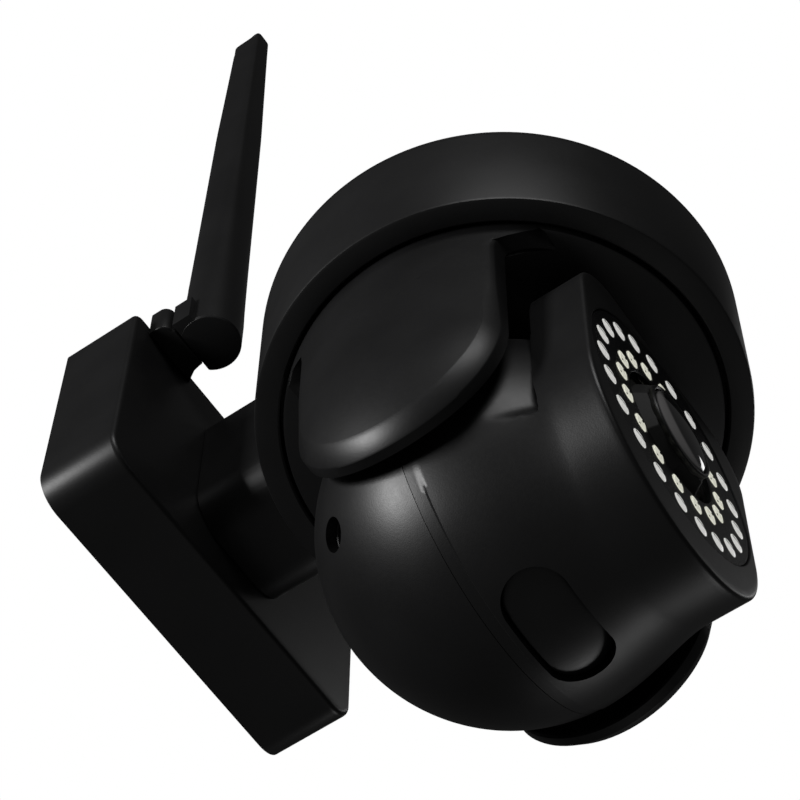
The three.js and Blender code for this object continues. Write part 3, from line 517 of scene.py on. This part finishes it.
# %% Cap
rim, top = cap_low[2], cap_high[2]
cap_profile = [(58.9, rim), (58.4, rim + 0.5), (58.4, rim + 8), (19.8, rim + 8), (19.8, rim + 11),
               (62, rim + 11), (62, top), (CAP_R, top), (CAP_R, rim + 0.9), (CAP_R - 0.25, rim + 0.3),
               (CAP_R - 0.9, rim)]
cap = turned("cap_ring", cap_profile, "z", (0, PAN_Y, 0), 192)
place_piece(cap, "mount", cap_plastic, "shell", "cap_base")
crown = lid_high[2]
lid_profile = [(0, crown - 3), (CAP_R, crown - 3.2), (CAP_R, crown - 2.4), (CAP_R - 0.3, crown - 1.2),
               (CAP_R - 1.1, crown - 0.4), (CAP_R - 2.6, crown), (0, crown)]
lid = turned("cap_lid", lid_profile, "z", (0, PAN_Y, 0), 192)
lid_screws = [[(a + b) / 2 for a, b in zip(*span(f"cover_screw_{i}"))] for i in (1, 2, 3)]
cut(lid, *[drum("hole", 3.3, 4, (x, y, crown + 0.2), "z", 32) for x, y, z in lid_screws])
place_piece(lid, "mount", cap_plastic, "shell", "cap_cover")
screw_heads([f"lid_screw_head_{i}" for i in (1, 2, 3)], [(x, y, crown - 1.0) for x, y, z in lid_screws], 0,
            "mount", [f"cover_screw_{i}" for i in (1, 2, 3)])

# %% [markdown]
# The neck joins the box to the cap. It is a cube with large lower corners and small upper ones; its top
# is cut on a slope where it runs down onto the cap, and a drum the size of the cap hollows its end.

# %% Neck
neck = block("neck_arm", neck_low, neck_high)
pick(neck, "EDGE", lambda m, d: abs(d.y) > 0.9 and m.z < 0)
bpy.ops.mesh.bevel(offset=12 * MM, segments=10, affect="EDGES")
pick(neck, "EDGE", lambda m, d: abs(d.y) > 0.9 and m.z > neck_high[2] - 0.1)
bpy.ops.mesh.bevel(offset=4 * MM, segments=5, affect="EDGES")
open_mesh(neck)
bpy.ops.mesh.select_all(action="SELECT")
bpy.ops.mesh.bisect(plane_co=(0, -44.5 * MM, neck_high[2] * MM), plane_no=(0, -0.55, 0.835), use_fill=True,
                    clear_outer=True)
close_mesh(neck)
cut(neck, drum("cap_room", CAP_R + 0.05, 60, (0, PAN_Y, crown - 29.95), "z", 192))
soften(neck, 1.0, 3, 30)
place_piece(neck, "mount", shell_plastic, "shell", "neck")

# %% [markdown]
# The yoke is a disc with two cheeks. Each cheek is a slice of a barrel round the pan axis: straight at
# the top, round at the bottom where it tucks in under the ball, and flared where it meets the disc.
# The skin runs from the middle of the outer face, over a chamfer and the edge, to the inner face.

# %% Yoke disc and cheeks
DISC_LOW = rim - 0.5
YOKE_R = (yoke_high[0] - yoke_low[0]) / 2
LOBE_Z = DISC_LOW - 48.3
HALF, FLARE, TUCK = 29.3, 10.0, 7.0
disc_profile = [(9, DISC_LOW), (YOKE_R - 0.8, DISC_LOW), (YOKE_R - 0.2, DISC_LOW + 0.3),
                (YOKE_R, DISC_LOW + 0.9), (YOKE_R, DISC_LOW + 5.5), (14.5, DISC_LOW + 5.5), (14.5, -16.5),
                (9, -16.5)]
disc = turned("yoke_disc", disc_profile, "z", (0, PAN_Y, 0), 192)
place_piece(disc, "yoke", shell_plastic, "shell", "yoke_frame")


def barrel(z):
    return YOKE_R - TUCK * max(0.0, (LOBE_Z - z) / HALF) ** 2


def cheek_outline(steps=48):
    """The cheek's side view as (along, height) points, anticlockwise from the lobe's rear end."""
    points = []
    for i in range(steps + 1):
        turn = math.pi + math.pi * i / steps
        points.append((HALF * math.cos(turn), LOBE_Z + HALF * math.sin(turn)))
    rise = 22
    for i in range(1, rise):
        points.append((HALF, LOBE_Z + (DISC_LOW - FLARE - LOBE_Z) * i / rise))
    for i in range(13):
        turn = math.pi - math.pi / 2 * i / 12
        points.append((HALF + FLARE + FLARE * math.cos(turn), DISC_LOW - FLARE + FLARE * math.sin(turn)))
    top_z = DISC_LOW + 2
    right = points[steps:]
    points.append((HALF + FLARE, top_z))
    for i in range(1, 30):
        points.append(((HALF + FLARE) * (1 - 2 * i / 30), top_z))
    points.append((-HALF - FLARE, top_z))
    points += [(-x, z) for x, z in reversed(right)]
    return points[:-1] if points[0] == points[-1] else points


OUTLINE = cheek_outline()
MIDDLE = (0.0, -64.0)


def cheek(name, side):
    steps = [(f, 0.0) for f in (0, 0.15, 0.3, 0.45, 0.6, 0.72, 0.82, 0.9)]
    rows = len(steps) * 2 + 5

    def place(column, row):
        along, z = OUTLINE[column % len(OUTLINE)]
        reach = math.hypot(along - MIDDLE[0], z - MIDDLE[1])
        low = min(1.0, max(0.0, (-66 - z) / 20))
        chamfer = 0.9 + 2.6 * low
        edge = [(1 - chamfer * 1.35 / reach, 0.0), (1 - chamfer / reach, 0.12),
                (1 - 0.25 / reach, 0.45 * chamfer), (1, 0.45 * chamfer + 0.3), (1, 4.3), (1 - 0.8 / reach, 5)]
        back = [(f, 5.0) for f, _ in reversed(steps)][:-1]
        f, sink = (steps + edge + back + [(0, 5.0)])[row]
        y, height = MIDDLE[0] + (along - MIDDLE[0]) * f, MIDDLE[1] + (z - MIDDLE[1]) * f
        radius = barrel(height) - sink
        return side * math.sqrt(radius ** 2 - y ** 2), PAN_Y + y, height

    piece = skin(name, len(OUTLINE), rows, place)
    return place_piece(piece, "yoke", shell_plastic, "shell", angle=28)


cheek("cheek_left", -1)
cheek("cheek_right", 1)

# %% [markdown]
# The ball's front half grows a snout. Going round the optical axis, each column of the skin follows the
# ball from the seam, swells into the snout's wall through a soft valley, rounds the front edge, crosses
# the face, drops into the window's seat and comes back along the inside.

# %% Snout and front half of the ball
SNOUT_W, SNOUT_TOP, ARC_Z, CORNER = 37.4, 39.5, -9.0, 15.0
BROW_Y = -31.0
SEAM = 2.9


def outline_reach(turn):
    """Distance from the ball's axis to the snout's outline in one direction."""
    c, s = math.cos(turn), math.sin(turn)
    side = SNOUT_W / abs(c) if abs(c) > 1e-6 else 1e9
    if s > 0 and SNOUT_TOP / s <= side and abs(SNOUT_TOP / s * c) <= SNOUT_W - CORNER:
        return SNOUT_TOP / s
    if ARC_Z <= side * s <= SNOUT_TOP - CORNER:
        return side
    if s > 0:
        x, z = SNOUT_W - CORNER, SNOUT_TOP - CORNER
        b = abs(c) * x + s * z
        return b + math.sqrt(b * b - (x * x + z * z - CORNER ** 2))
    return ARC_Z * s + math.sqrt((ARC_Z * s) ** 2 - ARC_Z ** 2 + SNOUT_W ** 2)


def blend(low, high, value):
    t = min(1.0, max(0.0, (value - low) / (high - low)))
    return t * t * (3 - 2 * t)


def swell(a, b, k):
    near = max(k - abs(a - b), 0) / k
    return max(a, b) + near * near * k / 4


def front_reach(y, turn):
    """The ball's radius round the optical axis, or the snout's where it stands proud of the ball."""
    ball = math.sqrt(max(BALL_R ** 2 - y * y, 0))
    if y >= 0:
        return ball
    upper = blend(-0.8, -0.4, math.sin(turn))
    cone = BALL_R - 2 - y
    brow = ball - 4 + 40 * blend(BROW_Y + 0.6, BROW_Y - 1.6, y)
    limit = cone + (min(cone, brow) - cone) * upper
    low = blend(0.2, -0.8, math.sin(turn))
    return swell(ball, min(outline_reach(turn), limit), 1.0 + 9 * low)


def front_column(turn):
    c, s = math.cos(turn), math.sin(turn)
    outer = [SEAM * (1 - i / 3) for i in range(3)] + [-0.75 * i for i in range(39)]
    outer += [-29.0 - 0.25 * i for i in range(1, 17)]
    outer += [-33.0 + (FACE_Y + 1.2 + 33.0) * i / 12 for i in range(1, 13)]
    path = [(y, front_reach(y, turn)) for y in outer]
    last = path[-1][1]
    for i in range(1, 6):
        a = math.pi / 2 * i / 5
        path.append((FACE_Y + 1.2 * (1 - math.sin(a)), last - 1.2 * (1 - math.cos(a))))
    points = [(c * r, y, s * r) for y, r in path]
    edge_x, edge_z = points[-1][0], points[-1][2]
    seat = [(35.3 * c, LENS_Z + 35.3 * s), (33.4 * c, LENS_Z + 33.4 * s)]
    rim_x, rim_z = seat[0][0] * 1.006, seat[0][1] * 1.006
    for i in range(1, 6):
        t = i / 5
        points.append((edge_x + (rim_x - edge_x) * t, FACE_Y, edge_z + (rim_z - edge_z) * t))
    for (x, z), depth in ((seat[0], 0.2), (seat[0], 2.2), (seat[1], 2.2), (seat[1], 4)):
        points.append((x, FACE_Y + depth, z))
    for i in range(13):
        y = FACE_Y + 4 + (SEAM - FACE_Y - 4) * i / 12
        r = min(front_reach(y, turn), front_reach(y - 2.4, turn)) - BALL_WALL
        points.append((c * r, y, s * r))
    return points + [points[0]]


COLUMNS = 240
columns = [front_column(2 * math.pi * i / COLUMNS) for i in range(COLUMNS)]


def on_ball(place):
    """Move a rule's points from the ball's own centre to where the ball is."""
    def moved(column, row):
        x, y, z = place(column, row)
        return x, PAN_Y + y, BALL_Z + z

    return moved


front = skin("ball_snout", COLUMNS, len(columns[0]) - 1, on_ball(lambda i, j: columns[i % COLUMNS][j]))


def racetrack(name, length, width, x, y, bottom, top):
    """A drum pulled out into an oval with straight sides, standing on Z."""
    piece = drum(name, width / 2, top - bottom, (0, 0, (bottom + top) / 2), "z", 64)
    for vertex in piece.data.vertices:
        pull = (length - width) / 2 * MM
        vertex.co.x += pull if vertex.co.x > 1e-6 else -pull if vertex.co.x < -1e-6 else 0
        vertex.co.x += x * MM
        vertex.co.y += y * MM
    return piece


DOOR = {"length": 34, "width": 16, "x": 2, "y": -10.5}
DOOR_ROOM = 0.7
cut(front, racetrack("door_room", DOOR["length"] + DOOR_ROOM, DOOR["width"] + DOOR_ROOM, DOOR["x"],
                     PAN_Y + DOOR["y"], BALL_Z - 60, BALL_Z - 25),
    drum("pin_room", PIN_ROOM_R, 120, (0, PAN_Y, BALL_Z), "x", 48))
place_piece(front, "ball", shell_plastic, "shell", "ball_front", angle=30)

# %% [markdown]
# The rear half is a plain bowl from the seam back. A small round port is sunk into its lower left;
# a cup with a ridged floor closes the port.

# %% Rear half of the ball and its port
RIB = 40
rear_path = [(BALL_R, math.acos((SEAM + 0.15) / BALL_R) * i / RIB) for i in range(RIB + 1)]
rear_path += [(BALL_R - BALL_WALL, math.acos((SEAM + 0.15) / (BALL_R - BALL_WALL)) * (1 - i / 20))
              for i in range(21)]
rear_path.append(rear_path[0])


def rear_place(i, j):
    radius, tilt = rear_path[j]
    turn = 2 * math.pi * i / 160
    return (radius * math.sin(tilt) * math.cos(turn), radius * math.cos(tilt),
            radius * math.sin(tilt) * math.sin(turn))


rear = skin("ball_bowl", 160, len(rear_path) - 1, on_ball(rear_place))
port_way = Vector((-33.2, 28.6, -18.2)).normalized()
port_turn = Vector((0, 0, 1)).rotation_difference(port_way).to_matrix().to_4x4()
port_to = Matrix.Translation(Vector((0, PAN_Y, BALL_Z)) * MM) @ port_turn
drill = drum("port_room", 4.3, 20, (0, 0, BALL_R), "z", 48)
drill.data.transform(port_to)
cut(rear, drill, drum("pin_room", PIN_ROOM_R, 120, (0, PAN_Y, BALL_Z), "x", 48))
place_piece(rear, "ball", shell_plastic, "shell", "ball_rear")
cup_profile = [(0, 42.4), (6.2, 42.4), (6.2, 44.6), (4.6, 44.6), (4.1, 44.2), (4.1, 43.6), (3.2, 43.6),
               (3, 43.9), (2.2, 43.9), (2, 43.6), (1.2, 43.6), (1, 43.9), (0, 43.9)]
cup = turned("port_cup", cup_profile, "z", (0, 0, 0), 48)
cup.data.transform(port_to)
place_piece(cup, "ball", bezel_plastic, "optics_black", "port_mesh")

# %% [markdown]
# Under the ball an oval cover hides the memory card and the reset button. It is a patch of the ball's
# own surface, slightly flattened, with a rounded edge all round.

# %% Service cover
DOOR_THICK = 1.8
door_steps = [(f, 0.0) for f in (0, 0.2, 0.4, 0.6, 0.75, 0.88)]
door_steps += [(0.955, 0.03), (0.985, 0.2), (1, 0.6), (1, 1.5)]
door_steps += [(f, DOOR_THICK) for f in (0.96, 0.75, 0.5, 0.25, 0)]


def door_place(i, j):
    f, sink = door_steps[j]
    turn = 2 * math.pi * i / 96
    run = (DOOR["length"] - DOOR["width"]) / 2
    x = run * max(-1.0, min(1.0, math.cos(turn) * 6)) + DOOR["width"] / 2 * math.cos(turn)
    x, y = DOOR["x"] + x * f, DOOR["y"] + DOOR["width"] / 2 * math.sin(turn) * f
    radius = BALL_R - 0.25 * (1 - f * f) - sink
    return x, y, -math.sqrt(radius ** 2 - x * x - y * y)


door = skin("service_cover", 96, len(door_steps) - 1, on_ball(door_place))
place_piece(door, "sd_cover", bezel_plastic, "rubber", "sd_door")

# %% [markdown]
# The front window is a smoked plate set flush in the snout's face, with an eased edge that catches a thin
# line of light. Every lamp stands in its own hole in it, so the holes are cut with one joined set of rods.

# %% Front window
CENTRE = (0, PAN_Y, BALL_Z + LENS_Z)
LAMP_FACE = -FACE_Y
pane_front = -(glass_low[1] - PAN_Y)
pane_back = -(glass_high[1] - PAN_Y)
OUTER = {"count": 21, "radius": 30.1, "start": math.pi / 2 + math.pi / 21}
INNER = {"count": 16, "radius": 21.7, "start": math.pi / 2}


def ring_spots(ring):
    turns = [ring["start"] + 2 * math.pi * i / ring["count"] for i in range(ring["count"])]
    return [(ring["radius"] * math.cos(t), BALL_Z + LENS_Z + ring["radius"] * math.sin(t), t) for t in turns]


pane_profile = [(18, pane_back), (35.1, pane_back), (35.1, pane_front - 0.25), (34.85, pane_front),
                (18.3, pane_front), (18, pane_front - 0.3)]
pane = turned("front_window", pane_profile, "y", CENTRE, 160)
rods = [drum("lamp_room", 2.85, 8, (x, PAN_Y - LAMP_FACE, z), "y", 28) for ring in (OUTER, INNER)
        for x, z, turn in ring_spots(ring)]
deselect()
for rod in rods:
    rod.select_set(True)
bpy.context.view_layer.objects.active = rods[0]
bpy.ops.object.join()
cut(pane, rods[0])
place_piece(pane, "ball", window_smoke, "window", "window")

# %% [markdown]
# Two rings of lamps light the scene at night. The outer ones are almost flat discs, each with a bar of
# its lead frame across it; the inner ones are flat rounded chips with a dark dot at two corners. Each kind is
# modelled once and copied round its carrier.

# %% Lamp rings
CARRIER = pane_back - 0.3


def carrier(name, radius, half_width, slot, node):
    inner, outer = radius - half_width, radius + half_width
    ring = turned(name, [(inner, CARRIER - 1.3), (outer, CARRIER - 1.3), (outer, CARRIER - 0.2),
                         (outer - 0.3, CARRIER), (inner + 0.3, CARRIER), (inner, CARRIER - 0.2)],
                  "y", CENTRE, 96)
    return place_piece(ring, "ball", inner_plastic, slot, node)


carrier("outer_lamp_carrier", OUTER["radius"], 3, "optics_black", "led_ring_outer")
carrier("inner_lamp_carrier", INNER["radius"], 3.3, "emitter", "led_ring_inner")


def copies_round(name, model, ring, material, slot):
    copies = []
    for x, z, turn in ring_spots(ring):
        copy = model.copy()
        copy.data = model.data.copy()
        bpy.context.scene.collection.objects.link(copy)
        place = Matrix.Translation(Vector((x, PAN_Y - pane_front - 0.05, z)) * MM)
        copy.data.transform(place @ Matrix.Rotation(math.pi / 2, 4, "X"))
        copies.append(copy)
    deselect()
    for copy in copies:
        copy.select_set(True)
    bpy.context.view_layer.objects.active = copies[0]
    bpy.ops.object.join()
    copies[0].name = name
    bpy.data.objects.remove(model)
    return place_piece(copies[0], "ball", material, slot)


dome = turned("dome", [(0, -2), (2.6, -2), (2.6, -0.12), (2.4, 0), (1.5, 0.08), (0, 0.1)], "z", (0, 0, 0), 28)
copies_round("outer_lamps", dome, OUTER, phosphor_white_painted_glow, "emitter")
frame_bar = block("bar", (-1.9, 0.9, 0.02), (1.9, 1.15, 0.16))
copies_round("outer_lead_frames", soften(frame_bar, 0.07, 1), OUTER, lead_grey, "steel")
chip = block("chip", (-2.1, -2.45, -2), (2.1, 2.45, 0))
pick(chip, "EDGE", lambda m, d: abs(d.z) > 0.9)
bpy.ops.mesh.bevel(offset=1.6 * MM, segments=6, affect="EDGES")
pick(chip, "FACE", lambda m, n: n.z > 0.9)
bpy.ops.mesh.inset(thickness=0.3 * MM)
bpy.ops.mesh.extrude_region_move(TRANSFORM_OT_translate={"value": (0, 0, 0.08 * MM)})
close_mesh(chip)
copies_round("inner_lamps", chip, INNER, phosphor_cream_painted_glow, "emitter")
dots = drum("dot", 0.42, 0.3, (0.8, 1.5, 0), "z", 12)
twin = drum("dot", 0.3, 0.3, (-0.9, -1.5, 0), "z", 12)
modify(dots, "BOOLEAN", operation="UNION", solver="EXACT", object=twin)
bpy.data.objects.remove(twin)
copies_round("inner_lamp_dots", soften(dots, 0.05, 1), INNER, inner_plastic, "optics_black")

# %% [markdown]
# The lens stands proud of the window in a black shroud, so stray light from the lamps can't reach it. The
# shroud is turned with eight flats and its rim is left round; the front element is a wide shallow dome.

# %% Lens
LENS_FRONT = LAMP_FACE + 2.8
shroud_profile = [(9.3, CARRIER - 1.3), (17.9, CARRIER - 1.3), (17.9, CARRIER - 0.4), (16.2, CARRIER - 0.3),
                  (13.4, LENS_FRONT - 1.3), (9.3, LENS_FRONT - 1.9)]
shroud = turned("lens_shroud", shroud_profile, "y", CENTRE, 8)
soften(shroud, 0.3, 2, 20)
place_piece(shroud, "ball", inner_plastic, "optics_black", "lens_hood", angle=20)
rim_profile = [(9.3, LENS_FRONT - 1.8), (12.5, LENS_FRONT - 2.4), (12.7, LENS_FRONT - 0.4),
               (12.4, LENS_FRONT - 0.05), (12, LENS_FRONT), (11.65, LENS_FRONT - 0.3),
               (11.6, LENS_FRONT - 1.4), (9.3, LENS_FRONT - 1.6)]
rim_ring = turned("lens_rim", rim_profile, "y", CENTRE, 128)
place_piece(rim_ring, "ball", bezel_plastic, "optics_black")
tube_profile = [(0, CARRIER - 22), (8.9, CARRIER - 22), (8.9, LENS_FRONT - 2.2), (7.5, LENS_FRONT - 2.2),
                (6.6, LENS_FRONT - 5), (0, LENS_FRONT - 5)]
tube = turned("lens_tube", tube_profile, "y", CENTRE, 96)
place_piece(tube, "ball", inner_plastic, "optics_black", "lens_barrel")
GLASS_R = 11.4
glass = [(0, LENS_FRONT - 1.35), (GLASS_R, LENS_FRONT - 1.35)]
for i in range(14):
    turn = math.pi / 2 * i / 14
    glass.append((GLASS_R * math.cos(turn), LENS_FRONT - 0.8 + 2.4 * math.sin(turn)))
glass += [(0, LENS_FRONT + 1.6)]
bead = turned("lens_glass", glass, "y", CENTRE, 128)
place_piece(bead, "ball", lens_coating_and_painted_reflection, "lens", "lens_front", angle=50)

# %% [markdown]
# The antenna mast is round at its foot and thins to a flat-sided blade with a slanted tip. Each level of
# the skin is a rounded square between those two, and the tip closes on a sloping cap.

# %% Antenna mast
MAST_X, MAST_Y = -35.6, -37.2
MAST_FOOT, MAST_R = 11.5, 8.9
mast_bottom, mast_top = mast_low[2], mast_high[2]
ROUND_SEG = 56
levels = [0, 0.0, 0.6, 1.0] + [4 + i * (mast_top - mast_bottom - 6.4) / 30 for i in range(31)]
JOINT_Y = foot_low[1] - 0.3


def mast_place(i, j):
    last = len(levels) + 1
    if j == 0:
        return MAST_X, MAST_Y, mast_bottom
    if j == last:
        return MAST_X, MAST_Y, mast_top - 4
    height = levels[min(j, len(levels) - 1)]
    t = min(1.0, max(0.0, (height - MAST_FOOT) / (mast_top - mast_bottom - MAST_FOOT)))
    ease = t ** 0.8
    half_x = MAST_R + (3.5 - MAST_R) * ease
    half_y = MAST_R + (5.35 - MAST_R) * ease
    shrink = 1 - (0.05 if j == 1 else 0)
    turn = 2 * math.pi * (i % ROUND_SEG) / ROUND_SEG
    c, s = math.cos(turn), math.sin(turn)
    power = 1 - 0.62 * min(1.0, 1.6 * t)
    x = shrink * half_x * math.copysign(abs(c) ** power, c)
    y = shrink * half_y * math.copysign(abs(s) ** power, s)
    z = mast_bottom + height
    if j == len(levels) - 1:
        z = mast_top - 8 * (y + half_y) / (2 * half_y)
    return MAST_X + x, MAST_Y + y, z


mast = skin("antenna_blade", ROUND_SEG, len(levels) + 1, mast_place)
cut(mast, block("joint_room", (-60, JOINT_Y, mast_bottom - 5), (0, 0, mast_bottom + 30)))
web = block("antenna_web", (-46.4, JOINT_Y - 5.9, mast_bottom + 0.05),
            (-38, JOINT_Y - 0.02, mast_bottom + 11.4))
modify(mast, "BOOLEAN", operation="UNION", solver="EXACT", object=web)
bpy.data.objects.remove(web)
soften(mast, 0.45, 2, 45)
place_piece(mast, "antenna", shell_plastic, "shell", "antenna_mast", angle=35)

# %% [markdown]
# The knuckle that carries the mast grows out of the box's front face. Its outline, seen from above, has
# a round lobe, a waist and a flared root, and is extruded to the height of the joint.

# %% Antenna knuckle
root = box_low[1]
turns = [-math.pi / 2 - math.pi / 2 * i / 8 for i in range(9)]
lobe = [(-45 + 3 * math.cos(a), root - 3.2 + 3 * math.sin(a)) for a in turns]
knuckle_outline = [(-28.5, root), (-29.8, root - 1.6), (-31, root - 3.6), (-31.5, foot_low[1] + 1),
                   (-31.5, foot_low[1]), (-44.6, foot_low[1])] + lobe + [(-48, root)]
deselect()
bpy.ops.mesh.primitive_circle_add(vertices=len(knuckle_outline), radius=1, fill_type="NGON")
knuckle = bpy.context.object
knuckle.name = "antenna_foot"
for vertex, (x, y) in zip(knuckle.data.vertices, knuckle_outline):
    vertex.co = Vector((x, y, mast_bottom)) * MM
open_mesh(knuckle)
bpy.ops.mesh.select_all(action="SELECT")
bpy.ops.mesh.extrude_region_move(TRANSFORM_OT_translate={"value": (0, 0, MAST_FOOT * MM)})
close_mesh(knuckle)
soften(knuckle, 0.5, 3, 40)
place_piece(knuckle, "mount", shell_plastic, "shell", "antenna_knuckle")

# %% [markdown]
# The view is from below, and the stage is a pale floor that lies lower still. Soft boxes at the left and
# above draw the highlights along the cap, the cheek and the ball, and two weak ones reach the face and
# the underside. The sky is white to the eye but lights the black plastic only gently.

# %% Stage, light and camera
deselect()
bpy.ops.mesh.primitive_plane_add(size=12, location=(0, 0, -2.4))
floor = bpy.context.object
floor.name = "studio_floor"
floor_finish, floor_tree, floor_shader, floor_place = finish("pale_floor", Roughness=0.9)
floor_tone = ramp(floor_tree, noise(floor_tree, floor_place, 3), (0.3, (0.78,) * 3), (0.7, (0.82,) * 3))
feed(floor_tree, floor_shader, Base_Color=floor_tone)
floor.data.materials.append(floor_finish)

world = bpy.data.worlds.new("studio")
bpy.context.scene.world = world
world.use_nodes = True
sky = world.node_tree
seen = add(sky, "ShaderNodeLightPath", output="Is Camera Ray")
level = seen * 0.97 + 0.03
background = sky.nodes["Background"]
background.inputs["Color"].default_value = (1, 1, 1, 1)
sky.links.new(level.socket, background.inputs["Strength"])
bpy.context.scene.view_settings.view_transform = "Standard"

azimuth, elevation, roll = (math.radians(v) for v in (-54.6, -60.8, 0.8))
back = Vector((math.sin(azimuth) * math.cos(elevation), -math.cos(azimuth) * math.cos(elevation),
               math.sin(elevation)))
flat = Vector((math.cos(azimuth), math.sin(azimuth), 0))
up = back.cross(flat)
right = flat * math.cos(roll) + up * math.sin(roll)
upward = up * math.cos(roll) - flat * math.sin(roll)
lens = bpy.data.cameras.new("studio_camera")
lens.sensor_width = 36
lens.lens = 126
lens.clip_start = 0.01
lens.clip_end = 20
camera = bpy.data.objects.new("studio_camera", lens)
bpy.context.scene.collection.objects.link(camera)
facing = Matrix((right, upward, back)).transposed().to_4x4()
camera.matrix_world = Matrix.Translation((-0.3093, -0.2980, -0.6673)) @ facing
bpy.context.scene.camera = camera


def soft_box(name, way, distance, size, power, target=Vector((0, -0.09, -0.05))):
    light = bpy.data.lights.new(name, "AREA")
    light.shape = "RECTANGLE"
    light.size, light.size_y = size
    light.energy = power
    lamp = bpy.data.objects.new(name, light)
    bpy.context.scene.collection.objects.link(lamp)
    lamp.location = target + way.normalized() * distance
    lamp.rotation_mode = "QUATERNION"
    lamp.rotation_quaternion = (-way).to_track_quat("-Z", "Y")


soft_box("left_box", -right * 1.0 + back * 0.3 + upward * 0.35, 1.2, (0.25, 0.5), 10)
soft_box("top_box", upward * 1.0 + right * 0.05 + back * 0.1, 1.2, (0.6, 0.3), 3.5)
soft_box("face_box", right * 0.62 + upward * 0.02 - back * 0.78, 1.3, (0.25, 0.25), 0.4)
soft_box("low_right_box", right * 0.6 - upward * 1.0 - back * 0.05, 1.2, (0.4, 0.3), 0.9)
print("camera at", [round(v, 4) for v in camera.location])
